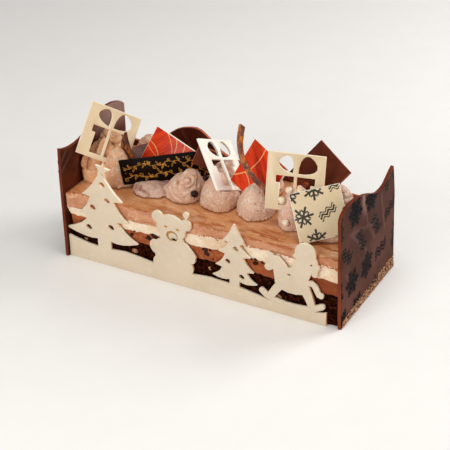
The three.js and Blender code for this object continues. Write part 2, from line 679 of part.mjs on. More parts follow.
const socketInset = 0.7947; // inner radius of a twenty-sided socket, as a share of its outer one
const pearlLook = { white: material.pearlWhite, copper: material.pearlCopper, dark: material.dark };

for (const [name, pearl] of Object.entries(pearls)) {
  const radius = pearl[3];
  const centre = pearlCentre(pearl);
  const look = pearlLook[name.split('_')[1]];
  addNode(name, new THREE.IcosahedronGeometry(radius, 1), look).position.copy(centre);
  const socket = new THREE.IcosahedronGeometry((radius + gap) / socketInset, 0);
  slots[name] = solidOf(socket.translate(...centre.toArray()));
}

// The sheets round the cake, moved in by the gap, against which the dollops press flat.
const walls = [
  ['end_plate_left', gap, 0],
  ['end_plate_right', -gap, 0],
  ['back_plate', 0, -gap],
].map(([name, dx, dy]) => solidOf(logCake.getObjectByName(name).geometry.clone().translate(dx, dy, 0)));

// Each dollop gives way to those piped before it and to whatever is stuck into it.
const piped = [];
for (const [name, dollop] of Object.entries(dollops)) {
  let solid = dollopSolid(dollop);
  for (const earlier of piped) solid = solid.subtract(dollopSolid(earlier, gap));
  const pressed = (pressedInto[name] ?? []).map((piece) => sweeps[piece]);
  for (const cut of [...Object.values(slots), ...pressed, ...walls]) solid = solid.subtract(cut);
  addNode(name, geometryOf(mainBody(solid)), material.dollop);
  piped.push(dollop);
}

// The top layer gives way to the corners that reach into it.
const cutTop = Object.values(slots).reduce((solid, slot) => solid.subtract(slot), topLayer);
addNode('praline_mousse_layer', geometryOf(mainBody(cutTop)), material.topMousse);

export default logCake;
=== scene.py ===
from math import atan2, cos, exp, hypot, pi, radians, sin, tanh
from random import Random

import bmesh
import bpy
from mathutils import Euler, Matrix, Vector, noise


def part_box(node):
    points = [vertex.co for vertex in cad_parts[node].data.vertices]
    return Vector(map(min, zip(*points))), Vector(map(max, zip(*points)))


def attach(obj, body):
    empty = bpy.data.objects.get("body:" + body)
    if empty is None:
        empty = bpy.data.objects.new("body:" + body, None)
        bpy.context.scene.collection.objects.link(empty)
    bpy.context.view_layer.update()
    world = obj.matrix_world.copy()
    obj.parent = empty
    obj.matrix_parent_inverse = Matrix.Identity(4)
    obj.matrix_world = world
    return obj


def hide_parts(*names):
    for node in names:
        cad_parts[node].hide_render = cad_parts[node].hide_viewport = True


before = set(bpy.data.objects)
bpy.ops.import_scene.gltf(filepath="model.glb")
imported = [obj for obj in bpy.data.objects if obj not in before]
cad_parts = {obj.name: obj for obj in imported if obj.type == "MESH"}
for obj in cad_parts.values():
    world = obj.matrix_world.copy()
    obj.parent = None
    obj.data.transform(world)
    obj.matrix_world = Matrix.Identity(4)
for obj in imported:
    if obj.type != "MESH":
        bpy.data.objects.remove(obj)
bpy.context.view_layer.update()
mm = 0.001
scene = bpy.context.scene


# shading helpers

def tint(colour):  # a colour as it looks on screen, as the linear one that a shader takes
    shares = [c / 255 for c in colour]
    return (*[c / 12.92 if c <= 0.04 else ((c + 0.055) / 1.055) ** 2.4 for c in shares], 1)


class Wire:  # one output of a shader node, so that a pattern reads as a sum
    def __init__(self, finish, socket):
        self.finish = finish
        self.socket = socket

    def __add__(self, other):
        return self.finish.maths("ADD", self, other)

    def __sub__(self, other):
        return self.finish.maths("SUBTRACT", self, other)

    def __rsub__(self, other):
        return self.finish.maths("SUBTRACT", other, self)

    def __mul__(self, other):
        return self.finish.maths("MULTIPLY", self, other)

    def __truediv__(self, other):
        return self.finish.maths("DIVIDE", self, other)

    def __abs__(self):
        return self.finish.maths("ABSOLUTE", self)

    __radd__ = __add__
    __rmul__ = __mul__

    def under(self, limit, soft):  # 1 below the limit and 0 above it, with a soft edge
        return self.finish.ramp(self, limit + soft, limit - soft)

    def over(self, limit, soft):
        return self.finish.ramp(self, limit - soft, limit + soft)


class Finish:  # a material; coat is weight and roughness, soft is weight, radii and scale
    def __init__(self, name, shine, coat=None, soft=None):
        self.material = bpy.data.materials.new(name)
        self.material.use_nodes = True
        self.tree = self.material.node_tree
        self.shader = self.tree.nodes["Principled BSDF"]
        fixed = {"Specular IOR Level": shine}
        if coat:
            fixed["Coat Weight"], fixed["Coat Roughness"] = coat
        if soft:
            fixed["Subsurface Weight"], fixed["Subsurface Radius"], fixed["Subsurface Scale"] = soft
        for socket, value in fixed.items():
            self.shader.inputs[socket].default_value = value
        self.place = self.node("TexCoord", output=3)
        self.colour = None

    def node(self, kind, settings=None, inputs=None, output=0):
        made = self.tree.nodes.new("ShaderNode" + kind)
        for name, value in (settings or {}).items():
            setattr(made, name, value)
        for name, value in (inputs or {}).items():
            self.feed(made.inputs[name], value)
        return Wire(self, made.outputs[output])

    def feed(self, socket, value):
        if isinstance(value, Wire):
            self.tree.links.new(value.socket, socket)
        else:
            socket.default_value = value

    def paint(self, share, colour):  # over the colour that is there
        self.colour = self.mix(share, self.colour, colour)

    def wear(self, roughness, relief=None, depth=None, strength=None, metal=0.0):
        values = {"Base Color": self.colour, "Roughness": roughness, "Metallic": metal}
        if relief:
            bump = {"Height": relief, "Distance": depth, "Strength": strength}
            values["Normal"] = self.node("Bump", None, bump)
        for name, value in values.items():
            self.feed(self.shader.inputs[name], value)
        return self.material

    def maths(self, operation, *values):
        return self.node("Math", {"operation": operation}, dict(enumerate(values)))

    def mapped(self, at=(0, 0, 0), turn=(0, 0, 0), scale=(1, 1, 1), vector=None):
        return self.node("Mapping", {"vector_type": "TEXTURE"}, {
            "Vector": vector or self.place, "Location": at, "Rotation": turn, "Scale": scale})

    def noise(self, scale, detail=3, rough=0.5, vector=None, warp=0):
        return self.node("TexNoise", None, {
            "Vector": vector or self.place, "Scale": scale, "Detail": detail,
            "Roughness": rough, "Distortion": warp})

    def cells(self, scale):
        return self.node("TexVoronoi", None, {"Vector": self.place, "Scale": scale})

    def ramp(self, value, low, high):  # smooth step from 0 at low to 1 at high
        return self.node("MapRange", {"interpolation_type": "SMOOTHSTEP"},
                         {"Value": value, "From Min": low, "From Max": high})

    def patches(self, low, high, *pattern):  # where the noise is high
        return self.ramp(self.noise(*pattern), low, high)

    def mix(self, share, first, second):  # of wires, or of colours as they look on screen
        first, second = [c if isinstance(c, Wire) else tint(c) for c in (first, second)]
        return self.node("Mix", {"data_type": "RGBA"}, {0: share, 6: first, 7: second}, 2)

    def parts(self, vector):
        split = self.node("SeparateXYZ", None, {0: vector}).socket.node
        return [Wire(self, socket) for socket in split.outputs]

    def facing(self, axis):
        return self.parts(self.node("NewGeometry", output=1))[axis]


# mesh helpers

def unit(axis, length=1):
    vector = Vector((0, 0, 0))
    vector[axis] = length
    return vector


def placed(name, data):  # a new object in the scene
    made = bpy.data.objects.new(name, data)
    scene.collection.objects.link(made)
    return made


def meshFrom(bm, name):
    mesh = bpy.data.meshes.new(name)
    bm.to_mesh(mesh)
    bm.free()
    return mesh


def meshOf(thing):  # with its modifiers applied
    return bpy.data.meshes.new_from_object(thing.evaluated_get(bpy.context.evaluated_depsgraph_get()))


def copyOf(nodeName):  # the CAD node's loose triangles, joined up again
    bm = bmesh.new()
    bm.from_mesh(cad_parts[nodeName].data)
    bmesh.ops.remove_doubles(bm, verts=bm.verts, dist=1e-6)
    return bm


def flattened(bm, degrees=0.6):
    bmesh.ops.dissolve_limit(bm, angle_limit=radians(degrees), verts=bm.verts, edges=bm.edges)
    bm.normal_update()
    return bm


def cutInto(bm, faces, axis, pitch):  # slices the given faces into strips across one axis
    spots = [v.co[axis] for f in faces for v in f.verts]
    low, high = min(spots), max(spots)
    count = max(1, round((high - low) / pitch))
    for step in range(1, count):
        parts = dict.fromkeys(part for f in faces for part in (f, *f.edges, *f.verts))  # each part once
        cut = bmesh.ops.bisect_plane(bm, geom=list(parts), dist=1e-7, plane_no=unit(axis),
                                     plane_co=unit(axis, low + (high - low) * step / count))
        faces = [g for g in cut["geom"] if isinstance(g, bmesh.types.BMFace)]
    return faces


def roundEdges(bm, edges, width, segments=2):
    bmesh.ops.bevel(bm, geom=edges, offset=width, offset_type="OFFSET", segments=segments,
                    profile=0.5, affect="EDGES", material=-1, clamp_overlap=True)
    bm.normal_update()


def rimEdges(bm, normal, sharp=0.9):  # edges between a sheet's two broad faces and its rim
    found = []
    for edge in bm.edges:
        if len(edge.link_faces) == 2:
            broad = [abs(f.normal.dot(normal)) > sharp for f in edge.link_faces]
            if broad[0] != broad[1]:
                found.append(edge)
    return found


def softNoise(point, size, seed=0.0):
    return noise.noise(point / size + Vector((seed, -seed, seed * 0.5)))


def smooth(value, low, high):
    t = min(1, max(0, (value - low) / (high - low)))
    return t * t * (3 - 2 * t)


def nearPath(here, path):  # how far a point is from a line through several points
    nearest = 1000
    for start, end in zip(path, path[1:]):
        step = Vector(end) - Vector(start)
        share = min(1, max(0, (here - Vector(start)).dot(step) / step.length_squared))
        nearest = min(nearest, (here - Vector(start) - step * share).length)
    return nearest


def finishPiece(bm, name, nodes, materials, sharp=35):
    bm.normal_update()
    mesh = meshFrom(bm, name)
    for material in materials:
        mesh.materials.append(material)
    mesh.shade_smooth()
    mesh.set_sharp_from_angle(angle=radians(sharp))
    piece = placed(name, mesh)
    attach(piece, "root")
    if nodes:
        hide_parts(*nodes)
    return piece


# camera, floor and light

view = {  # metres, degrees and mm
    "place": (0.410179, -0.745495, 0.518896), "turn": (60.1228, 0.9237, 28.3999), "lens": 107.144,
}
lens = bpy.data.cameras.new("camera")
lens.lens = view["lens"]
lens.sensor_width = 36
lens.clip_start = 0.01
camera = placed("camera", lens)
camera.location = view["place"]
camera.rotation_euler = [radians(a) for a in view["turn"]]
scene.camera = camera
scene.view_settings.view_transform = "Standard"

studio = {  # place and size in metres, power in watts, and colour
    "frontSoftbox": [(-0.18, -0.98, 0.44), 0.46, 4.7, (1, 0.97, 0.93)],
    "backSoftbox": [(0.6, 0.72, 0.62), 0.45, 6.0, (1, 0.98, 0.96)],
    "topSoftbox": [(0.1, -0.1, 1.1), 0.5, 3.3, (1, 0.97, 0.93)],
    "fillSoftbox": [(0.98, -0.1, 0.5), 0.4, 1.5, (1, 0.97, 0.93)],
}
ambient = {"Color": (1, 0.985, 0.97, 1), "Strength": 0.33}
for name, (place, size, power, colour) in studio.items():
    lamp = bpy.data.lights.new(name, "AREA")
    lamp.size = size
    lamp.energy = power
    lamp.color = colour
    softbox = placed(name, lamp)
    softbox.location = place
    aim = Vector((0, 0, 0.05)) - Vector(place)
    softbox.rotation_euler = aim.to_track_quat("-Z", "Y").to_euler()
scene.world = bpy.data.worlds.new("studio")
scene.world.use_nodes = True
for name, value in ambient.items():
    scene.world.node_tree.nodes["Background"].inputs[name].default_value = value

floorLook = {"half": 3, "drop": 0.2 * mm, "colours": [(244, 243, 241), (248, 247, 245)], "roughness": 0.75}
f = Finish("paleFloor", 0.5)
bm = bmesh.new()
bmesh.ops.create_grid(bm, x_segments=1, y_segments=1, size=floorLook["half"])
bmesh.ops.translate(bm, verts=bm.verts, vec=(0, 0, -floorLook["drop"]))
floor = placed("floor", meshFrom(bm, "floor"))
f.colour = f.mix(f.noise(40, 2), *floorLook["colours"])
floor.data.materials.append(f.wear(floorLook["roughness"]))
print("camera, floor and light ready")


# wavy chocolate plates

plateLook = {
    "grid": 1.6 * mm, "edge": 0.5 * mm, "swell": 0.3 * mm, "swellSize": 22 * mm, "crease": 0.5 * mm,
    "inner": [(112, 54, 34), (56, 22, 12)], "outer": [(104, 66, 56), (68, 39, 31)],  # base and dark
    "back": [(106, 52, 35), (66, 28, 17)], "rim": [(134, 68, 44), (100, 42, 24)],
    "backRim": [(196, 116, 86), (166, 88, 62)], "sheen": (178, 142, 132), "ink": (4, 6, 12),
    "print": (25 * mm, 1.5, (0.14, 0.25)),  # pitch, weight of the lines, and twigs along a crystal's arm
    "cornerSheen": [(-20 * mm, 20 * mm), (70 * mm, 88 * mm), 0.6],  # a painted reflection, along Y and Z, and strength
    # left by the plastic sheet that the chocolate set on: ends [y, z] in mm, at the back [x, z]
    "creases": {
        "end_plate_left": [((-40.4, 85.5), (-48.9, 77)), ((-33, 81), (-48.3, 70)), ((-24, 84), (-31, 60)),
                           ((6, 94), (-8, 62))],
        "end_plate_right": [((-31, 67), (10, 56)), ((-30, 66), (-4, 41)), ((-9, 86), (-3, 62)),
                            ((-3, 62), (10, 44)), ((20, 74), (28, 44)), ((-40, 40), (-22, 22))],
        "back_plate": [((-60, 76), (-48, 52)), ((-30, 66), (-38, 40))],
    },
    "creaseWidth": 1.1,
}


def festivePrint(f, across, up, pitch, weight, twigs):  # snow crystals and waves, each turned its own way
    row = f.maths("FLOOR", up / pitch)
    column = across / pitch + row * 0.37
    first = f.maths("FLOOR", column)
    cell = f.node("CombineXYZ", None, {0: first, 1: row})
    chance = f.node("TexWhiteNoise", {"noise_dimensions": "2D"}, {"Vector": cell})
    local = f.node("CombineXYZ", None, {0: column - first - 0.5, 1: up / pitch - row - 0.5})
    turned = f.node("VectorRotate", {"rotation_type": "Z_AXIS"},
                    {"Vector": local, "Angle": chance * 25})
    x, y, _ = f.parts(turned)
    radius = f.node("VectorMath", {"operation": "LENGTH"}, {0: turned}, 1)
    sixth = pi / 3
    toArm = abs(f.maths("FRACT", f.maths("ARCTAN2", y, x) / sixth + 6.5) - 0.5) * sixth
    beside = radius * f.maths("SINE", toArm)
    along = radius * f.maths("COSINE", toArm)
    arm = beside.under(0.036 * weight, 0.012)
    for start in twigs:
        twig = abs(along - beside * 0.6 - start).under(0.03 * weight, 0.012) * beside.under(0.14, 0.01)
        arm = f.maths("MAXIMUM", arm, twig)
    crystal = arm * radius.under(0.44, 0.012)
    wave = abs(y - f.maths("SINE", x * 21) * 0.05)
    besideWave = abs(wave - 0.12).under(0.022 * weight, 0.01)
    waves = f.maths("MAXIMUM", wave.under(0.035 * weight, 0.012), besideWave)
    choice = chance.over(0.52, 0.001)
    return crystal * (1 - choice) + waves * abs(x).under(0.4, 0.01) * choice


def plateFinish(name, colours, printed="", cornerSheen=False):
    base, dark = colours
    f = Finish(name, 0.008 if printed else 0.04, (0.02, 0.2))
    cloud = f.patches(0.3, 0.7, 24, 4, 0.6)
    fold = f.node("Attribute", {"attribute_name": "fold"}, output=2)
    f.colour = f.mix(cloud, dark, base)
    # painted highlight: a pale sheen along the creases
    f.paint(fold * 0.13, plateLook["sheen"])
    scuffs = f.patches(0.58, 0.75, 160, 4, 0.7, f.mapped(scale=(1, 1, 3)))
    f.paint(scuffs * 0.22, plateLook["rim"][0])
    x, y, z = f.parts(f.place)
    if cornerSheen:  # painted reflection: pale and greyish towards one corner
        spanY, spanZ, strength = plateLook["cornerSheen"]
        f.paint(f.ramp(y, *spanY) * f.ramp(z, *spanZ) * strength, plateLook["sheen"])
    # painted highlight: a pale streak below the peak, where the bent plate catches the light
    if printed == "right":
        wander = (f.noise(60, 2) - 0.5) * 8 * mm
        streak = abs(y + 8 * mm + wander).under(2 * mm, 2 * mm) * z.over(74 * mm, 10 * mm)
        f.paint(streak * 0.5, plateLook["sheen"])
    if printed:
        across = x if printed == "back" else y
        ink = festivePrint(f, across + 6 * mm, z + 9 * mm, *plateLook["print"])
        fade = f.patches(0.25, 0.5, 120, 3, 0.6)
        f.paint(ink * (fade * 0.1 + 0.88), plateLook["ink"])
    relief = f.noise(60, 3, 0.5) + f.noise(420, 2, 0.6) * 0.12
    return f.wear(cloud * 0.12 + 0.33, relief, 0.6 * mm, 0.6)


def plate(nodeName, axis, outward, outer, inner, rim):
    bm = flattened(copyOf(nodeName))
    roundEdges(bm, rimEdges(bm, unit(axis), 0.75), plateLook["edge"])
    broad = []
    for face in bm.faces:
        lean = face.normal[axis] * outward
        face.material_index = 2
        if abs(lean) > 0.9:
            face.material_index = 0 if lean > 0 else 1
            broad.append(face)
    broad = cutInto(bm, broad, 2, plateLook["grid"])
    cutInto(bm, broad, 1 - axis, plateLook["grid"])
    bm.normal_update()
    foldShare = bm.verts.layers.float.new("fold")
    for vert in bm.verts:
        swell = softNoise(vert.co, plateLook["swellSize"], 3.1) * smooth(vert.co.z, 0, 8 * mm)
        here = Vector((vert.co[1 - axis], vert.co.z)) / mm
        nearest = min(nearPath(here, ends) for ends in plateLook["creases"][nodeName])
        fold = exp(-(nearest / plateLook["creaseWidth"]) ** 2)
        vert[foldShare] = fold
        vert.co[axis] += swell * plateLook["swell"] + outward * fold * plateLook["crease"]
    finishPiece(bm, nodeName + "_chocolate", [nodeName], [outer, inner, rim], 50)


innerChocolate = plateFinish("plateInnerChocolate", plateLook["inner"], cornerSheen=True)
backChocolate = plateFinish("plateBackChocolate", plateLook["back"])
leftOuter, rightOuter, backOuter = [plateFinish(side + "PlateOuter", plateLook["outer"], side)
                                    for side in ("left", "right", "back")]
rimChocolate = plateFinish("plateRimChocolate", plateLook["rim"])
# painted light: the back plate's rim is much paler than the other rims, standing in for light on its edge
backRim = plateFinish("plateLitBackRim", plateLook["backRim"])
plate("end_plate_right", 0, 1, rightOuter, innerChocolate, rimChocolate)
plate("end_plate_left", 0, -1, leftOuter, innerChocolate, rimChocolate)
plate("back_plate", 1, 1, backOuter, backChocolate, backRim)
print("chocolate plates ready")


# finishes of clouds, flecks and a fine relief

glazes = {  # colours are base, dark and fleck
    "praline": {"shine": 0.4, "coat": None, "clouds": (0.35, 0.65, 500, 3, 0.6), "rough": (0.2, 0.45),
                "relief": (900, 3), "bump": (0.4 * mm, 0.6)},
    "milk": {"shine": 0.06, "clouds": (0.35, 0.7, 60, 4, 0.6), "rough": (0.12, 0.4),
             "flecks": (0.6, 0.78, 420, 4, 0.7), "flecked": 0.4,
             "relief": (120, 4, 0.6), "bump": (0.3 * mm, 0.4)},
    "dark": {"shine": 0.08, "coat": (0.03, 0.12), "clouds": (0.35, 0.7, 80, 4, 0.6), "rough": (0.12, 0.22),
             "flecks": (0.62, 0.8, 300, 4, 0.7), "flecked": 0.3,
             "relief": (150, 3), "bump": (0.3 * mm, 0.4)},
    "curl": {"shine": 0.25, "coat": (0.15, 0.18), "clouds": (0.35, 0.68, 110, 4, 0.6), "rough": (0.15, 0.25),
             "flecks": (0.5, 0.6, 240, 4, 0.65), "stretch": (1, 1, 1.8), "relief": (300, 3),
             "bump": (0.3 * mm, 0.5)},
    "pearl": {"shine": 0.06, "clouds": (0.35, 0.65, 500, 3, 0.5), "rough": (0.15, 0.25),
              "relief": (600, 3), "bump": (0.3 * mm, 0.4)},
}


# clouds and flecks are a ramp's ends and a noise; rough is spread and least, bump is depth and strength
def glaze(name, colours, shine, coat, clouds, rough, relief, bump, flecks=None, flecked=0, stretch=None):
    f = Finish(name, shine, coat)
    cloud = f.patches(*clouds)
    f.colour = f.mix(cloud, *colours[:2])
    if flecks:
        flecks = f.patches(*flecks, stretch and f.mapped(scale=stretch))
        f.paint(flecks * flecked, colours[2])
    return f.wear(cloud * rough[0] + rough[1], f.noise(*relief), *bump)


def lump(bm, place, sizes, turn, seed, subdivisions=1, rough=0.3):
    made = bmesh.ops.create_icosphere(bm, subdivisions=subdivisions, radius=mm)
    for vert in made["verts"]:
        vert.co *= 1 + rough * softNoise(vert.co, 0.9 * mm, seed)
    bmesh.ops.scale(bm, verts=made["verts"], vec=sizes)
    bmesh.ops.rotate(bm, verts=made["verts"], matrix=Euler(turn).to_matrix())
    bmesh.ops.translate(bm, verts=made["verts"], vec=Vector(place) * mm)


# crumbs of praline along the right plate's foot

crumbLook = {  # in mm
    "count": 700, "outerFace": 112.35, "lean": 0.028, "ends": (-44, 47.5), "highest": 10.0,
    "sizes": (0.35, 0.95), "seed": 11, "colours": [(206, 158, 116), (140, 88, 56)],
}
praline = glaze("pralineCrumb", crumbLook["colours"], **glazes["praline"])
chance = Random(crumbLook["seed"])
bm = bmesh.new()
start, end = crumbLook["ends"]
for _ in range(crumbLook["count"]):
    share = chance.random()
    size = chance.uniform(*crumbLook["sizes"])
    z = size + crumbLook["highest"] * (0.5 + 0.5 * share) * chance.random() ** 1.3
    place = (crumbLook["outerFace"] - z * crumbLook["lean"], start + (end - start) * share, z)
    lump(bm, place, (size * 0.7, size * chance.uniform(0.8, 1.5), size),
         [chance.uniform(0, 6) for _ in range(3)], share * 90)
finishPiece(bm, "praline_crumbs", [], [praline], 20)
print("crumbs ready")


# layers of the log

layerLook = {
    "grid": 1.1 * mm, "crumbGrid": 0.75 * mm, "topEdge": 1.0 * mm,
    "crumb": {"depth": 1.0 * mm, "size": 2.4 * mm, "pits": 1.4 * mm},
    "ragged": 0.8 * mm, "meet": 0.22 * mm,  # how far the borders between the layers wander and close up
    "cutFace": -43.5, "topCorner": (51.3 * mm, -42 * mm),  # y of the face in mm; z and y where the top ends
    "soft": (0.06, (0.004, 0.002, 0.001), 0.5),
    # base, dark and light, and a red for the brownie
    "brownie": [(60, 20, 8), (12, 3, 1), (142, 74, 42), (122, 50, 30)],
    "milkMousse": [(176, 94, 52), (130, 62, 33), (206, 132, 88)],
    "cream": [(246, 229, 204), (230, 198, 164), (255, 249, 236)], "creamStain": (204, 132, 84),
    "topMousse": [(214, 148, 96), (180, 106, 58), (232, 182, 138)], "stain": (176, 92, 44),
    "topFace": [(212, 153, 115), (188, 121, 83), (240, 203, 170)],
}


def mousseFinish(name, colours, poreShade, rough=0.6, smears=0.0, shadeToRight=0.0):
    base, dark, light = colours
    f = Finish(name, 0.12, None, layerLook["soft"])
    cloud = f.patches(0.32, 0.7, 70, 5, 0.6, f.mapped(scale=(2.2, 1, 1)))
    patch = f.patches(0.45, 0.75, 260, 4, 0.6)
    f.colour = f.mix(cloud, base, dark)
    f.paint(patch * 0.45, light)
    # painted shade in the small pores, which the bump also dents
    hole = f.ramp(f.cells(420), 0.22, 0.12) * f.patches(0.5, 0.62, 150, 2)
    f.paint(hole * poreShade, dark)
    x, _, _ = f.parts(f.place)
    if shadeToRight:  # painted shade: darker towards the right end
        f.paint(f.ramp(x, 20 * mm, 95 * mm) * shadeToRight, dark)
    if smears:  # crumbs of the other layers drawn along by the knife
        drawn = f.patches(0.52, 0.68, 170, 5, 0.7, f.mapped(scale=(1.5, 1, 1)))
        f.paint(drawn * f.ramp(x, -10 * mm, 60 * mm) * smears, layerLook["creamStain"])
    relief = f.noise(500, 4, 0.6) - hole * 0.6 + f.noise(110, 3) * 0.8
    return f.wear(patch * 0.1 + rough, relief, 0.7 * mm, 0.7)


def topFinish():
    base, dark, light = layerLook["topMousse"]
    faceBase, faceDark, faceLight = layerLook["topFace"]
    f = Finish("pralineMousse", 0.35, (0.1, 0.35), layerLook["soft"])
    x, y, z = f.parts(f.place)
    warped = f.mapped(turn=(0, 0, radians(-5)), scale=(2.4, 1, 1))
    drawn = f.mapped(turn=(0, radians(2), radians(-3)), scale=(2.9, 1, 1))
    brushed = f.noise(90, 5, 0.55, warped, 0.5)
    wide = f.noise(40, 4, 0.55, warped, 0.6)
    nearFront = f.ramp(y, -10 * mm, -36 * mm) * (f.ramp(x, -70 * mm, 50 * mm) * 0.6 + 0.4)
    f.colour = f.mix(f.ramp(brushed, 0.42, 0.72) * 0.45, base, dark)
    f.paint(f.ramp(wide, 0.45, 0.66) * 0.6, light)
    stain = f.patches(0.56, 0.66, 75, 5, 0.65, warped, 0.8)
    f.paint(stain * 0.5, layerLook["stain"])
    lines = f.noise(210, 5, 0.62, drawn)
    f.paint(f.ramp(lines, 0.54, 0.62) * nearFront, layerLook["stain"])
    f.paint(f.ramp(lines, 0.46, 0.38) * nearFront * 0.65, faceLight)
    grain = f.noise(760, 3, 0.7)
    f.paint(f.ramp(grain, 0.5, 0.64) * 0.35, dark)
    patch = f.patches(0.36, 0.66, 120, 5, 0.65, f.mapped(scale=(2.5, 1, 1)))
    face = f.mix(patch, faceBase, faceDark)
    face = f.mix(f.patches(0.5, 0.64, 300, 5, 0.7, f.mapped(scale=(1.6, 1, 1))) * 0.5, face, faceLight)
    face = f.mix(f.ramp(lines, 0.56, 0.66) * 0.4, face, layerLook["stain"])
    # painted shade in the pores of the cut face, which the bump also dents
    poreShade = f.ramp(f.cells(430), 0.24, 0.14) * f.patches(0.48, 0.58, 160, 2)
    face = f.mix(poreShade * 0.8, face, layerLook["stain"])
    # painted shade: the cut face darker towards the right end
    face = f.mix(f.ramp(x, 0, 90 * mm) * 0.5, face, faceDark)
    level, front = layerLook["topCorner"]
    cutEdge = z.over(level, 0.5 * mm) * y.under(front, 0.5 * mm) * f.patches(0.42, 0.56, 260, 4, 0.7)
    face = f.mix(cutEdge * 0.85, face, layerLook["stain"])
    f.paint(cutEdge * 0.85, layerLook["stain"])
    upward = f.ramp(f.facing(2), 0.35, 0.75)
    relief = brushed * 0.5 + wide * 0.8 + grain * 0.25 - stain * 0.2 + lines * nearFront * 0.8 - poreShade * 0.6
    f.colour = f.mix(upward, face, f.colour)
    return f.wear(f.ramp(wide, 0.3, 0.7) * 0.18 + 0.42, relief, 0.6 * mm, 0.6)


def brownieFinish():
    base, dark, light, red = layerLook["brownie"]
    f = Finish("brownieCrumb", 0.02)
    crumbs = f.noise(380, 6, 0.75)
    f.colour = f.mix(f.ramp(crumbs, 0.44, 0.56), dark, base)
    f.paint(f.patches(0.6, 0.7, 620, 3, 0.7) * 0.7, light)
    f.paint(f.patches(0.6, 0.7, 240, 4, 0.7) * 0.5, red)
    relief = crumbs * 1.4 + f.cells(500) * 0.8
    return f.wear(f.ramp(crumbs, 0.3, 0.7) * 0.3 + 0.45, relief, 1.2 * mm, 0.9)


def ragged(point):  # the same drift for every layer, so that neighbours keep their gap
    long = Vector((point.x, 0, point.z * 0.4))
    drift = softNoise(long, 4.5 * mm, 8.0) + 0.5 * softNoise(long, 2.2 * mm, 9.0)
    between = smooth(point.z, 4 * mm, 14 * mm) * (1 - smooth(point.z, 45 * mm, 50 * mm))
    return drift * layerLook["ragged"] * between


def layer(nodeName, material, front, top=False, grid=layerLook["grid"]):
    bm = flattened(copyOf(nodeName), 0.3)
    if top:
        corner = [e for e in bm.edges if len(e.link_faces) == 2
                  and max(f.normal.z for f in e.link_faces) > 0.7
                  and min(f.normal.y for f in e.link_faces) < -0.7]
        roundEdges(bm, corner, layerLook["topEdge"], 3)
    faces = [f for f in bm.faces if f.normal.y < -0.3]
    faces = cutInto(bm, faces, 0, grid)
    cutInto(bm, faces, 2, grid)
    if top:
        bm.normal_update()
        faces = [f for f in bm.faces if f.normal.z > 0.5]
        faces = cutInto(bm, faces, 0, layerLook["grid"] * 1.6)
        cutInto(bm, faces, 1, layerLook["grid"] * 1.6)
    bm.normal_update()
    frontmost = min(v.co.y for v in bm.verts)
    for vert in bm.verts:
        if vert.co.y < frontmost + 4 * mm and vert.normal.y < -0.2:
            edge = (vert.normal.z > 0.3) - (vert.normal.z < -0.3)
            if 2 * mm < vert.co.z < 50 * mm:  # neighbours meet at the cut face
                vert.co.z += edge * layerLook["meet"]
            vert.co.z += ragged(vert.co)
            vert.co.y -= front(vert.co)
        elif top and vert.normal.z > 0.5:
            long = Vector((vert.co.x * 0.35, vert.co.y, 0))
            vert.co.z += softNoise(long, 6 * mm, 2.0) * 0.2 * mm + softNoise(vert.co, 16 * mm) * 0.22 * mm
    finishPiece(bm, nodeName + "_dressed", [nodeName], [material], 60)


def crumbFront(point):
    look = layerLook["crumb"]
    rough = softNoise(point, look["size"], 1.0) + 0.6 * softNoise(point, look["size"] * 0.45, 2.0)
    pit = max(0, softNoise(point, 4.2 * mm, 5.0) - 0.25) * 2
    return rough * look["depth"] * 0.7 - pit * look["pits"]


def mousseFront(depth):
    return lambda point: (softNoise(point, 5 * mm, 4.0) + 0.5 * softNoise(point, 1.8 * mm, 6.0)) * depth


layer("brownie_layer", brownieFinish(), crumbFront, False, layerLook["crumbGrid"])
layer("milk_mousse_layer", mousseFinish("milkMousse", layerLook["milkMousse"], 0.8, shadeToRight=0.7),
      mousseFront(0.35 * mm))
layer("white_cream_layer", mousseFinish("whiteCream", layerLook["cream"], 0.25, 0.5, 0.75),
      mousseFront(0.4 * mm))
layer("praline_mousse_layer", topFinish(), mousseFront(0.3 * mm), True)

inclusions = {  # [x, z, half width, half height] in mm, over the lumps of the cut face
    "nut_pieces": [
        (-54.2, 16.1, 2.9, 2.1), (-96.1, 15.5, 1.7, 1.2), (64.4, 11.1, 2.8, 2.1), (9, 19, 1.5, 1.2),
        (-14, 20, 1.4, 1.2), (31, 6, 1.1, 0.8)],
    "chocolate_chips": [
        (-37, 34, 4, 2.3), (-40.5, 30.2, 3.6, 1.9), (-55, 30.4, 2, 1.3), (-53.1, 33.4, 1.4, 1),
        (7.4, 30.4, 2.2, 1.6), (5.7, 33.6, 2.3, 1.9), (9.5, 34.2, 1.2, 0.8), (42, 36, 1.4, 0.8),
        (46, 36.4, 1.6, 0.9), (50.8, 36, 1.7, 1.1), (46, 33.4, 2.4, 1.2), (-99, 29, 1.8, 1.3),
        (84, 29.5, 1.9, 1.4), (-8, 31.5, 1.2, 0.9), (12, 27.5, 0.9, 0.7)],
    "half": 1.5, "sunk": {"nut_pieces": 1.5, "chocolate_chips": 1.1},  # half depth, and behind the face
    "chip": [(52, 24, 15), (28, 11, 6), (90, 50, 34)],
}
chipFinish = mousseFinish("chocolateChip", inclusions["chip"], 0.4, 0.35)
for name, material, slotName in (("nut_pieces", praline, "praline_mousse"),
                                 ("chocolate_chips", chipFinish, "milk_chocolate")):
    bm = bmesh.new()
    for x, z, wide, high in inclusions[name]:
        lump(bm, (x, layerLook["cutFace"] + inclusions["sunk"][name], z), (wide, inclusions["half"], high),
             (0.3 * sin(x), 0.6 * sin(z * 3), 0), x, 4, 0.55)
    finishPiece(bm, name, [], [material], 60)

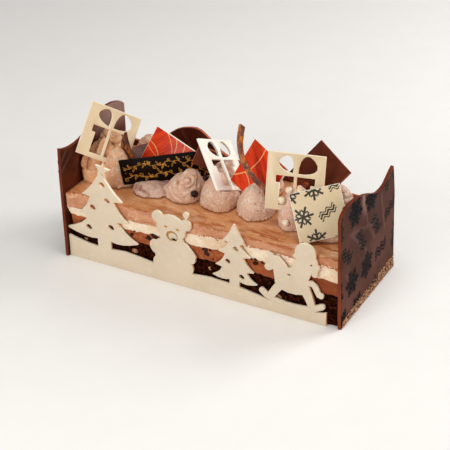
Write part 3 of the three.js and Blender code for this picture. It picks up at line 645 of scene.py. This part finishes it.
smearedCrumbs = {  # in mm, along the border of cream and praline mousse
    "count": 90, "seed": 5, "along": (-30, 107), "sizes": (0.3, 0.7), "spread": 0.6,
    "border": (43.2, 2.9, -15, 32),  # height in the middle, rise, middle and length of the rise
    "colours": [(206, 124, 72), (168, 88, 46), (228, 160, 110)],
}
chance = Random(smearedCrumbs["seed"])
bm = bmesh.new()
start, end = smearedCrumbs["along"]
level, rise, middle, length = smearedCrumbs["border"]
for _ in range(smearedCrumbs["count"]):
    x = end - (end - start) * chance.random() ** 1.6
    size = chance.uniform(*smearedCrumbs["sizes"])
    z = level + rise * tanh((x - middle) / length) + chance.gauss(0, smearedCrumbs["spread"])
    sizes = (size * chance.uniform(1, 2), size * 0.7, size * 0.8)
    lump(bm, (x, layerLook["cutFace"] - 0.1 * size, z), sizes, (0, chance.uniform(-0.5, 0.5), 0), x)
smearedFinish = mousseFinish("smearedCrumb", smearedCrumbs["colours"], 0.4)
finishPiece(bm, "smeared_crumbs", [], [smearedFinish], 40)
print("cake layers ready")


# piped dollops

dollops = {
    "voxel": 0.6 * mm, "rounds": 12, "fine": {"front_4": 0.42 * mm}, "foot": 53.05 * mm,
    "front": 8, "back": 7,  # how many stand in each row
    "rings": {"height": 0.42 * mm, "pitch": 4.2 * mm},  # left by the nozzle on the back ones
    # colours of painted shade: in the small pits, and along the foot and in the hollows
    "pitShade": (112, 58, 36), "stain": (150, 78, 42),
    "piped": [(245, 204, 176), (219, 162, 126), (255, 238, 222)],
    "caramel": [(247, 188, 136), (220, 146, 90), (254, 228, 194)],
    "toffee": [(240, 190, 148), (214, 152, 108), (252, 226, 198)],
    "smeared": [(226, 186, 166), (192, 140, 116), (244, 222, 210)],
    "rosy": [(250, 214, 192), (230, 178, 150), (255, 236, 222)],
    "finishes": {"front_1": "caramel", "front_2": "toffee", "front_3": "smeared", "front_7": "rosy",
                 "back_1": "caramel", "back_7": "streaked"},
    # centres of the round skins in mm, and the number of sides that the solids have
    "centres": {"front_1": (-99.5, -11.5), "front_2": (-82.9, -13.8), "front_3": (-54, -12.5),
                "front_4": (-29.2, -10.1), "front_5": (-0.4, -9.3), "front_6": (28.8, -9.6),
                "front_7": (60.5, -11.5), "front_8": (86.5, -13), "back_1": (-98.5, 3), "back_2": (-80, 27),
                "back_3": (-44, 22), "back_4": (-12, 23), "back_5": (20, 22), "back_6": (53, 21),
                "back_7": (82, 14)},
    "sides": 14,
    # left by the nozzle: points [x, z] along the front or [x, y, z], height (a crease's is below zero) and
    # half width, in mm
    "ridges": {
        "front_1": [
            ([(-105, 84), (-107, 66)], 1.3, 1.3), ([(-101.5, 86), (-102.5, 64)], -1.5, 0.8),
            ([(-98.5, 87), (-98.5, 66)], 1.1, 1.2), ([(-94.8, 86), (-94, 66)], -1.3, 0.8),
            ([(-91.5, 83), (-90.5, 68)], 0.9, 1.1)],
        "front_2": [([(-90, 79), (-83, 77.5), (-77, 78.5)], 0.5, 1.2)],
        "front_3": [
            ([(-66, 57.5), (-58, 58.8), (-50, 57.2)], 0.6, 1.1), ([(-62, 55.5), (-52, 55)], 0.5, 0.9),
            ([(-57, -24.4, 58), (-54.4, -23.4, 56.4)], -1.2, 0.5)],
        "front_4": [
            ([(-24.4, -16.4, 72.9), (-21.4, -14.9, 73.1), (-19.2, -14.9, 70.8), (-18.9, -17.2, 68.2),
              (-20.6, -20, 66.9), (-22.1, -20.8, 67.2)], 2.9, 0.8),
            ([(-20.8, -17.6, 70.2), (-20.2, -17.8, 69.4)], 0.8, 0.7),
            ([(-19.3, -8.2, 73.4), (-17.4, -9.4, 71.3), (-16.6, -12.1, 68.8), (-16.2, -14.1, 65.4)],
             -2.6, 0.65),
            ([(-17.9, -4.1, 68.6), (-15.3, -8.8, 65), (-14.6, -10.5, 61)], -2.6, 0.65),
            ([(-36, 62), (-31, 57.5), (-25, 55.5)], 0.5, 1.2)],
        "front_8": [([(80, 68), (86, 64), (92, 66)], 0.5, 1)],
    },
    "pits": {"front_3": [(-59.5, 57.5, 0.8), (-64, 56.6, 0.5)],
             "front_4": [(-30.3, 67.6, 1.7), (-22.2, 58.8, 0.7), (-17, 56.5, 0.6), (-26.5, 62.5, 0.4)],
             "front_5": [(-6, 66, 0.5), (3, 60, 0.5)],
             "front_6": [(34, 66, 0.7), (36, 61, 0.6), (24, 68, 0.5)],
             "front_7": [(57, 66, 0.6), (62, 60, 0.5)]},
    "rough": {"front_3": 3.4, "back_7": 2.0, "front_8": 1.6, "front_7": 1.3},  # how lumpy
    "frill": {"front_2": 4, "front_6": 3.2, "front_4": 1.6},  # how frayed the foot is
    "shoulders": {"front_4": (67.5, 10.5, -32.5, -24)},  # height, rise to the peak, start and end
    # lobes pulled out of the foot: centre and reach in mm
    "lobes": {"front_4": [((-43.6, -12.6, 55), (3.6, 3.2, 3.2)), ((-38, -12.5, 56.5), (6.5, 5, 5))],
              "front_1": [((-104.5, -20.5, 62), (4.5, 6.5, 14)), ((-101, -20, 58), (7, 6.5, 9))],
              "front_3": [((-62, -14.5, 55.5), (5.5, 4, 3)), ((-47.5, -14, 55.5), (5, 4, 2.8))],
              "front_7": [((64, -16.5, 56), (5, 4, 3.4))]},
}


def dollopFinish(name, colours, gloss=0.0, streaks=0.0, grain=1.0):
    base, dark, light = colours
    f = Finish(name, 0.45, (gloss, 0.2), (0.08, (0.005, 0.0025, 0.0015), 0.5))
    cloud = f.patches(0.35, 0.68, 55, 4, 0.55)
    f.colour = f.mix(cloud * 0.7, base, dark)
    f.paint(f.patches(0.46, 0.68, 260, 5, 0.7) * 0.7, light)
    # painted shade in the small pits that the bump dents
    pitShade = f.ramp(f.cells(620), 0.24, 0.12) * f.patches(0.5, 0.62, 260, 2)
    f.paint(pitShade * 0.7, dollops["pitShade"])
    fine = f.noise(1100, 3, 0.7)
    f.paint(f.ramp(fine, 0.5, 0.64) * 0.4 * grain, dark)
    f.paint(f.ramp(fine, 0.5, 0.36) * 0.5 * grain, light)
    relief = f.noise(480, 5, 0.75) * 1.1 + fine * 0.6 - pitShade * 0.9 + f.noise(140, 3) * 0.5
    _, _, z = f.parts(f.place)
    # painted shade: a dark orange-brown line along the foot, where the dollop meets the cake
    footShade = z.under(dollops["foot"] + 0.5 * mm, 0.6 * mm) * f.patches(0.3, 0.5, 240, 3, 0.6)
    f.paint(footShade * 0.75, dollops["stain"])
    # painted shade in the creases, pits and ring grooves, stored per vertex
    hollowShade = f.node("Attribute", {"attribute_name": "hollowShade"}, output=2)
    f.paint(f.ramp(hollowShade, 0.1, 1.0) * 0.75, dollops["stain"])
    if streaks:
        lines = f.noise(150, 4, 0.6, f.mapped(turn=(0, radians(50), 0), scale=(1, 1, 5)))
        f.paint(f.ramp(lines, 0.48, 0.6) * streaks, (196, 118, 66))
        relief = relief + lines * 1.5
    return f.wear(cloud * 0.12 + 0.42 - gloss * 0.2, relief, 1.3 * mm, 0.9)


def softened(bm, voxel, rounds):  # melts facets and joins lumps into one skin
    holder = placed("soft", meshFrom(bm, "soft"))
    grid = holder.modifiers.new("grid", "REMESH")
    grid.mode = "VOXEL"
    grid.voxel_size = voxel
    bm = bmesh.new()
    bm.from_mesh(meshOf(holder))
    bpy.data.objects.remove(holder)
    for _ in range(rounds):
        bmesh.ops.smooth_vert(bm, verts=bm.verts, factor=0.5,
                              use_axis_x=True, use_axis_y=True, use_axis_z=True)
    return bm


def roundOff(point, key):  # how far the solid's flat side lies inside the round skin
    centre = Vector(dollops["centres"][key]) * mm
    away = Vector((point.x, point.y)) - centre
    sector = 2 * pi / dollops["sides"]
    beside = ((atan2(away.y, away.x) / sector + 0.5) % 1 - 0.5) * sector
    return away.length * (1 - cos(sector / 2) / cos(beside))


def dollop(key, material, seed):
    nodeName = "dollop_" + key
    bm = copyOf(nodeName)
    for centre, reach in dollops["lobes"].get(key, []):
        lump(bm, centre, reach, (0, 0, 0), seed, 3, 0)
    bm = softened(bm, dollops["fine"].get(key, dollops["voxel"]), dollops["rounds"])
    bm.normal_update()
    # how much painted shade each vertex gets, in creases, pits and ring grooves
    hollowShade = bm.verts.layers.float.new("hollowShade")
    foot, rings = dollops["foot"], dollops["rings"]
    back = key.startswith("back")
    rough = dollops["rough"].get(key, 0.5 if back else 1)
    frill = dollops["frill"].get(key, 2.2)
    moves = []
    for vert in bm.verts:
        p = vert.co
        low = 1 - smooth(p.z, foot, foot + 2.5 * mm)
        push = softNoise(p, 11 * mm, seed) * 0.6 * mm + softNoise(p, 4 * mm, seed + 3) * 0.24 * rough * mm
        push += softNoise(p, 1.6 * mm, seed + 6) * 0.12 * mm
        push += softNoise(Vector((p.x, p.y, p.z * 3 + p.x * 0.6)), 9 * mm, seed + 9) * 0.35 * rough * mm
        push += roundOff(p, key) * (1 - smooth(p.z, foot + 8 * mm, foot + 14 * mm))
        if back:
            x, y = dollops["centres"][key]
            turns = (p.z - foot) / rings["pitch"] + atan2(p.y - y * mm, p.x - x * mm) / (2 * pi)
            ring = sin(2 * pi * turns + 2 * softNoise(p, 9 * mm, seed))
            above = smooth(p.z, foot + mm, foot + 4 * mm)
            push += (ring - abs(ring) * 0.5) * rings["height"] * above
            vert[hollowShade] += 0.5 * max(0, -ring - 0.5) * above
        if vert.normal.y < 0.3:
            for path, height, wide in dollops["ridges"].get(key, []):
                here = p / mm if len(path[0]) == 3 else Vector((p.x, p.z)) / mm
                share = nearPath(here, path) / wide
                push += height * mm * (exp(-share ** 2) - 0.35 * exp(-(share - 1.9) ** 2) * (height > 0))
                vert[hollowShade] += 0.4 * exp(-(share - 1.9) ** 2) if height > 0 else 0.9 * exp(-share ** 2)
            for x, z, wide in dollops["pits"].get(key, []):
                share = hypot(p.x / mm - x, p.z / mm - z) / wide
                push -= wide * mm * exp(-share ** 2)
                vert[hollowShade] += 0.9 * exp(-share ** 2)
        fray = max(0, softNoise(Vector((p.x, p.y, 0)), 1.9 * mm, seed) + 0.1)
        sideways = Vector((vert.normal.x, vert.normal.y, 0)) * low * fray * frill * mm
        moves.append(vert.normal * push * (1 - 0.6 * low) + sideways - unit(2, low * 0.4 * mm))
    for vert, move in zip(bm.verts, moves):
        vert.co += move
        if key in dollops["shoulders"]:  # a flat shoulder left of the peak
            level, rise, start, end = dollops["shoulders"][key]
            limit = level * mm + rise * mm * smooth(vert.co.x, start * mm, end * mm)
            vert.co.z = min(vert.co.z, limit + (vert.co.z - limit) * 0.25)
    finishPiece(bm, nodeName + "_piped", [nodeName], [material], 80)


mousses = {  # colours, gloss, streaks and grain
    "piped": ["piped"], "caramel": ["caramel", 0.4, 0, 0.6], "toffee": ["toffee", 0.1, 0, 0.8],
    "smeared": ["smeared", 0.15], "rosy": ["rosy"], "streaked": ["rosy", 0, 0.8],
    "ringed": ["piped", 0, 0, 0.35],
}
for key, (colours, *rest) in mousses.items():
    mousses[key] = dollopFinish(key + "Mousse", dollops[colours], *rest)
for side in ("front", "back"):
    for number in range(1, dollops[side] + 1):
        key = "%s_%d" % (side, number)
        usual, first = ("piped", 0) if side == "front" else ("ringed", 5)
        dollop(key, mousses[dollops["finishes"].get(key, usual)], number * 1.7 + first)
print("dollops ready")


# thin chocolate decorations

slabTurns = {  # about Z, X and Y in degrees
    "gift_square_left": (52.7, -23.8, 30.8), "gift_square_middle": (100.4, -37.4, 30.9),
    "gift_square_right": (12.2, -15.7, 0), "printed_square": (23.1, -33.2, -14.5),
    "red_square_left": (2.8, -19.9, 21.8), "red_square_right": (-15.1, -23, -71.2),
    "milk_square": (-8.8, -40.1, 26.6), "message_plaque": (24.2, 2, -8.8),
    "shard_left": (8, -6, -24), "shard_middle": (25, -5, 23),
}
slabCentres = {  # in mm, where something is drawn on the face
    "printed_square": (83.4, -20.9, 71.2), "red_square_left": (-52.5, 4.1, 69.3),
    "red_square_right": (28.6, -4.3, 80.5), "message_plaque": (-46.4, -7.8, 70.3),
}
sheetColours = {  # base, dark and light
    "ivory": [(221, 204, 180), (209, 190, 163), (232, 219, 199)],
    # pale ivory for rims, and the middle gift square's whiter face as painted light
    "paleAndLitIvory": [(251, 246, 236), (243, 231, 212), (255, 252, 246)],
    "red": [(222, 66, 28), (186, 38, 18), (240, 112, 62)],
    "vein": (246, 178, 116),
    # golden fill, painted as the shade and glow in the bear's eyes and muzzle groove
    "grooveShadeGold": [(206, 146, 74), (180, 112, 46), (222, 176, 112)],
    # rims: pale where they face the light and golden away from it, as painted light and shade
    "litRimIvory": [(252, 238, 214), (246, 224, 190), (255, 248, 236)], "rimShade": (250, 166, 84),
    "goldenIvory": [(224, 203, 168), (211, 185, 146), (234, 217, 185)],
    "milk": [(98, 44, 27), (78, 33, 19), (126, 66, 43)],
    "milkRim": [(170, 88, 54), (140, 66, 40), (196, 120, 84)],
    "dark": [(20, 8, 5), (10, 4, 3), (56, 38, 34)],
    "shardSheen": [(168, 154, 158), (104, 84, 80), (208, 200, 204)],
    "gold": [(204, 142, 48), (142, 92, 26)], "ink": (20, 17, 17),
    "print": (17 * mm, 1.25, (0.19,)),  # as the plates' print
}
sheetEdge = 0.28 * mm
panelEdge = 0.45 * mm


def turnOf(name):
    aboutZ, aboutX, aboutY = (radians(a) for a in slabTurns[name])
    return Euler((aboutX, aboutY, aboutZ), "YXZ").to_matrix()


def centreOf(name):
    return Vector(slabCentres[name]) * mm


def onSlab(f, name):  # coordinates across and up the slab's own face, in metres
    return f.mapped(at=tuple(centreOf(name)), turn=tuple(turnOf(name).to_euler("XYZ")))


def ivoryFinish(name, shade="ivory", glow=0.12, printedOn=None):
    base, dark, light = sheetColours[shade]
    radii = (0.004, 0.0034, 0.0028) if glow > 0.3 else (0.003, 0.002, 0.0012)
    f = Finish(name, 0.25, (0.08, 0.25), (glow, radii, 0.6))
    cloud = f.patches(0.35, 0.7, 38, 4, 0.6)
    f.colour = f.mix(cloud * 0.55, base, dark)
    f.paint(f.patches(0.55, 0.75, 210, 3, 0.6) * 0.4, light)
    if glow > 0.3:  # painted light and shade: a rim stays pale towards the light and is painted golden away from it
        away = f.ramp(f.facing(0) - f.facing(2), 0.1, 0.9)
        f.paint(away * 0.85, sheetColours["rimShade"])
    if printedOn:
        x, _, z = f.parts(onSlab(f, printedOn))
        ink = festivePrint(f, x + 3 * mm, z + 8.5 * mm, *sheetColours["print"])
        f.paint(ink * 0.95, sheetColours["ink"])
    return f.wear(cloud * 0.1 + 0.36, f.noise(90, 3) + f.noise(700, 2) * 0.15, 0.4 * mm, 0.5)


def redFinish(name, arcs):
    base, dark, light = sheetColours["red"]
    f = Finish(name + "_glaze", 0.12, (0.06, 0.15))
    local = onSlab(f, name)
    x, _, z = f.parts(local)
    stretched = f.mapped(turn=(0, radians(34), 0), scale=(1, 1, 9), vector=local)
    streak = f.noise(420, 5, 0.65, stretched)
    f.colour = f.mix(f.ramp(streak, 0.42, 0.64), base, dark)
    f.paint(f.patches(0.58, 0.76, 900, 3, 0.6, stretched) * 0.7, light)
    wobble = (f.noise(260, 3, 0.6) - 0.5) * 1.1 * mm
    for cx, cz, radius, width, lowest, highest in arcs:
        dx, dz = x - cx * mm, z - cz * mm
        away = f.maths("SQRT", dx * dx + dz * dz) - radius * mm + wobble
        ends = z.over(lowest * mm, 0.5 * mm) * z.under(highest * mm, 0.5 * mm)
        line = abs(away).under(width * mm, width * 0.5 * mm) * ends
        f.paint(line * 0.85, sheetColours["vein"])
    return f.wear(f.ramp(streak, 0.3, 0.7) * 0.15 + 0.24, streak, 0.2 * mm, 0.4)


def sheetPiece(nodeName, material, rim, normal=None, edge=sheetEdge, flat=0.9):
    bm = flattened(copyOf(nodeName), 0.2)
    outward = normal or turnOf(nodeName) @ Vector((0, -1, 0))
    roundEdges(bm, rimEdges(bm, outward), edge)
    for face in bm.faces:
        face.material_index = 0 if abs(face.normal.dot(outward)) > flat else 1
    return finishPiece(bm, nodeName + "_sheet", [nodeName], [material, rim])


bearFace = {  # ovals as centre and reach, in mm on the panel's front
    "front": -46.3, "depth": 1.2, "muzzle": [(-19.5, 39.6), (4.7, 4.2)],
    "snout": [(-19.0, 39.2), (3.45, 2.95)], "mouth": [(-18.2, 36.9), (2.3, 1.0)],
    "eyes": [[(-24.4, 46.2), (1.15, 1.0)], [(-14.6, 45.8), (1.15, 1.0)]],
}


def ovalRod(oval, near, far, grown=0, segments=40, bm=None):  # a closed bar along Y, in mm behind the front
    if bm is None:
        bm = bmesh.new()
    (x, z), (wide, high) = oval
    made = bmesh.ops.create_cone(bm, cap_ends=True, segments=segments, radius1=1, radius2=1, depth=1)
    bmesh.ops.rotate(bm, verts=made["verts"], matrix=Euler((pi / 2, 0, 0)).to_matrix())
    bmesh.ops.scale(bm, verts=made["verts"], vec=Vector((wide + grown, far - near, high + grown)) * mm)
    middle = Vector((x, bearFace["front"] + (near + far) / 2, z))
    bmesh.ops.translate(bm, verts=made["verts"], vec=middle * mm)
    return bm


def carve(piece, bm):  # takes the cutter's shape out of a finished piece
    cutter = placed("cutter", meshFrom(bm, "cutter"))
    cut = piece.modifiers.new("carve", "BOOLEAN")
    cut.operation = "DIFFERENCE"
    cut.solver = "EXACT"
    cut.object = cutter
    carved = meshOf(piece)
    piece.modifiers.clear()
    piece.data = carved
    bpy.data.objects.remove(cutter)


darkChocolate = glaze("darkChocolate", sheetColours["dark"], **glazes["dark"])
ivoryRim = ivoryFinish("ivoryRim", "paleAndLitIvory")
giftRim = ivoryFinish("giftRim", "litRimIvory", 0.45)
panelRim = ivoryFinish("panelRim", "litRimIvory", 0.4)
panel = sheetPiece("front_panel", ivoryFinish("panelIvory"), panelRim, Vector((0, -1, 0)),
                   panelEdge, 0.97)
depth, muzzle, mouth = bearFace["depth"], bearFace["muzzle"], bearFace["mouth"]
carve(panel, ovalRod(muzzle, -1, depth))
carve(panel, ovalRod(mouth, -1, 3))
bm = ovalRod(bearFace["snout"], 0.3, depth - 0.02)
roundEdges(bm, [e for e in bm.edges if e.calc_face_angle(0) > 1], 0.2 * mm)
snout = finishPiece(bm, "bear_snout", [], [ivoryFinish("snoutIvory")], 50)
carve(snout, ovalRod(mouth, -1, 3))
# painted shade: a dark chocolate plug behind the mouth slot stands in for the shade seen through it
finishPiece(ovalRod(mouth, 1.1, 1.7, 0.25), "bear_mouth_shade", [], [darkChocolate], 50)
# painted shade: golden plugs in the eyes and a golden disc under the muzzle stand in for the shaded, glowing
# walls of these hollows
bm = ovalRod(muzzle, depth - 0.12, depth - 0.03, -0.02)
for eye in bearFace["eyes"]:
    ovalRod(eye, 0.35, 1.6, 0, 24, bm)
grooveShadeGold = ivoryFinish("grooveShadeGold", "grooveShadeGold")
grooveShadePiece = finishPiece(bm, "bear_groove_shade", [], [grooveShadeGold], 50)
carve(grooveShadePiece, ovalRod(mouth, -1, 3))

# arcs in mm on the square's face: centre, radius, half width, and the heights where they start and end
veinsLeft = [(-19.5, -8.8, 14.9, 0.35, -20, 20), (-13.7, 7.3, 17.2, 0.35, 2, 20),
             (-6.3, 12.8, 15.1, 0.35, 6, 20), (-22, -4, 26, 0.25, -20, 20), (-2, 30, 32, 0.22, -6, 20)]
veinsRight = [(12, 35.9, 30.7, 0.4, -20, 20), (-18.8, 12.8, 13.3, 0.35, -4, 10.8)]
giftIvory = ivoryFinish("giftIvory", "goldenIvory")
# painted light: the middle gift square gets a whiter ivory than the other two, as if strongly lit
paleAndLitIvory = ivoryFinish("paleAndLitIvory", "paleAndLitIvory")
printedIvory = ivoryFinish("printedIvory", "goldenIvory", 0, "printed_square")
milkRim = glaze("milkRim", sheetColours["milkRim"], coat=(0.1, 0.2), **glazes["milk"])
milkChocolate = glaze("milkChocolate", sheetColours["milk"], coat=(0.03, 0.2), **glazes["milk"])
milkShard = glaze("milkShard", sheetColours["milk"], coat=(0.05, 0.2), **glazes["milk"])
# painted reflection: the dark chocolate shard is coloured pale grey, standing in for the sheen on its glossy
# face
shardWithSheen = glaze("shardWithSheen", sheetColours["shardSheen"], **glazes["dark"])
darkRim = glaze("darkRim", sheetColours["dark"], **glazes["dark"])
for nodeName, slotName, material, rim in (
        ("gift_square_left", "white_chocolate", giftIvory, giftRim),
        ("gift_square_middle", "white_chocolate", paleAndLitIvory, ivoryRim),
        ("gift_square_right", "white_chocolate", giftIvory, giftRim),
        ("printed_square", "white_chocolate", printedIvory, ivoryRim),
        ("red_square_left", "red_chocolate", redFinish("red_square_left", veinsLeft), ivoryRim),
        ("red_square_right", "red_chocolate", redFinish("red_square_right", veinsRight), ivoryRim),
        ("milk_square", "milk_chocolate", milkChocolate, milkRim),
        ("message_plaque", "dark_chocolate", darkChocolate, darkRim),
        ("shard_left", "dark_chocolate", shardWithSheen, milkRim),
        ("shard_middle", "milk_chocolate", milkShard, milkRim)):
    sheetPiece(nodeName, material, rim)
print("thin decorations ready")


# gold scrollwork on the plaque

scrolls = {
    "line": 0.28 * mm, "face": -1.0,  # half line width, and the plaque's face in mm from its centre
    "half": (31.2, 8.8), "flat": 0.35,  # half width and height in mm, and the share of depth that is kept
    "seed": 4, "columns": 17, "rows": 2, "dots": 12,
}


def goldFinish():
    f = Finish("goldPrint", 0.5)
    cloud = f.patches(0.35, 0.65, 300, 3, 0.6)
    f.colour = f.mix(cloud, *sheetColours["gold"])
    return f.wear(cloud * 0.2 + 0.35, metal=cloud * 0.2 + 0.1)


def goldLines():  # two rows of a winding vine with curls, leaves and sprigs
    chance = Random(scrolls["seed"])
    wide, high = scrolls["half"]
    lines = []
    for row in range(scrolls["rows"]):
        middle = high * (0.5 - row)

        def stem(x):
            return middle + 1.3 * sin(x / 3.4 + row * 2) + 0.5 * sin(x / 1.3)

        lines.append([(x * 0.5, stem(x * 0.5)) for x in range(int(-2 * wide), int(2 * wide))])
        for column in range(scrolls["columns"]):
            x = wide * (2 * (column + 0.5) / scrolls["columns"] - 1)
            side = 1 if column % 2 else -1
            z, lean = stem(x), chance.uniform(0.2, 0.7)
            if column % 3 == 0:  # a curl
                size = chance.uniform(1.1, 1.7)
                turns = [(size * (1 - t / 22), t * 0.5) for t in range(17)]
                lines.append([(x + reach * sin(turn) * side, z + side * (size - reach * cos(turn)))
                              for reach, turn in turns])
            else:  # a pair of slender leaves
                for tall in (chance.uniform(3.2, 4.8), chance.uniform(1.8, 2.8)):
                    lean = -lean
                    turns = [t * 0.524 for t in range(13)]
                    lines.append([(x + 0.45 * sin(turn) + lean * tall * (1 - cos(turn)) / 2,
                                   z + side * tall * (1 - cos(turn)) / 2) for turn in turns])
    lines = [[(x, z) for x, z in line if abs(x) < wide and abs(z) < high] for line in lines]
    return [line for line in lines if len(line) > 2]


bm = bmesh.new()
for line in goldLines():
    path = bpy.data.curves.new("stroke", "CURVE")
    path.dimensions = "3D"
    path.bevel_depth = scrolls["line"]
    path.bevel_resolution = 1
    spline = path.splines.new("POLY")
    spline.points.add(len(line) - 1)
    for point, (x, z) in zip(spline.points, line):
        point.co = (x * mm, scrolls["face"] * mm, z * mm, 1)
    path.use_fill_caps = True
    stroke = placed("stroke", path)
    bm.from_mesh(meshOf(stroke))
    bpy.data.objects.remove(stroke)
chance = Random(scrolls["seed"] + 1)
wide, high = scrolls["half"]
for _ in range(scrolls["dots"]):
    spot = (chance.uniform(-1, 1) * wide, scrolls["face"], chance.uniform(-1, 1) * high)
    lump(bm, spot, (0.5, 0.3, 0.5), (0, 0, 0), 1, 2, 0)
bmesh.ops.scale(bm, verts=bm.verts, vec=(1, scrolls["flat"], 1),
                space=Matrix.Translation((0, -scrolls["face"] * mm, 0)))
bmesh.ops.transform(bm, verts=bm.verts, matrix=Matrix.Translation(centreOf("message_plaque"))
                    @ turnOf("message_plaque").to_4x4())
finishPiece(bm, "plaque_scrollwork", [], [goldFinish()], 60)
print("scrollwork ready")


# curls

curlLook = {  # base and dark, and how strongly gilded
    "edge": 0.35 * mm, "gold": (204, 116, 34),
    "tall": [[(142, 88, 72), (80, 38, 28)], 1.0], "small": [[(104, 54, 36), (58, 25, 15)], 0.5],
}
for size in ("tall", "small"):
    colours, gilded = curlLook[size]
    material = glaze(size + "Curl", [*colours, curlLook["gold"]], flecked=gilded, **glazes["curl"])
    bm = flattened(copyOf(size + "_curl"), 0.05)
    sharp = [e for e in bm.edges if len(e.link_faces) == 2 and e.calc_face_angle(0) > radians(50)]
    roundEdges(bm, sharp, curlLook["edge"])
    finishPiece(bm, size + "_curl_strip", [size + "_curl"], [material], 45)
print("curls ready")


# crisp pearls

pearlLook = {  # coat weight, base and dark, slot and nodes
    "whitePearl": [0.3, [(246, 232, 208), (228, 204, 170)], "white_pearl",
                   ["pearl_white_1", "pearl_white_2", "pearl_white_3", "pearl_white_4"]],
    "copperPearl": [0.35, [(156, 74, 36), (110, 44, 20)], "copper_pearl", ["pearl_copper"]],
    "darkPearl": [0.4, [(52, 18, 13), (26, 8, 6)], "dark_chocolate", ["pearl_dark_1", "pearl_dark_2"]],
}
for finishName, (coat, colours, slotName, names) in pearlLook.items():
    material = glaze(finishName, colours, coat=(coat, 0.08), **glazes["pearl"])
    for name in names:
        low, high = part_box(name)
        bm = bmesh.new()
        bmesh.ops.create_icosphere(bm, subdivisions=4, radius=(high.x - low.x) / 2)
        for vert in bm.verts:
            vert.co *= 1 + 0.05 * softNoise(vert.co, 1.4 * mm, low.x * 40)
        bmesh.ops.translate(bm, verts=bm.verts, vec=(low + high) / 2)
        finishPiece(bm, name + "_crisp", [name], [material], 80)
print("pearls ready")
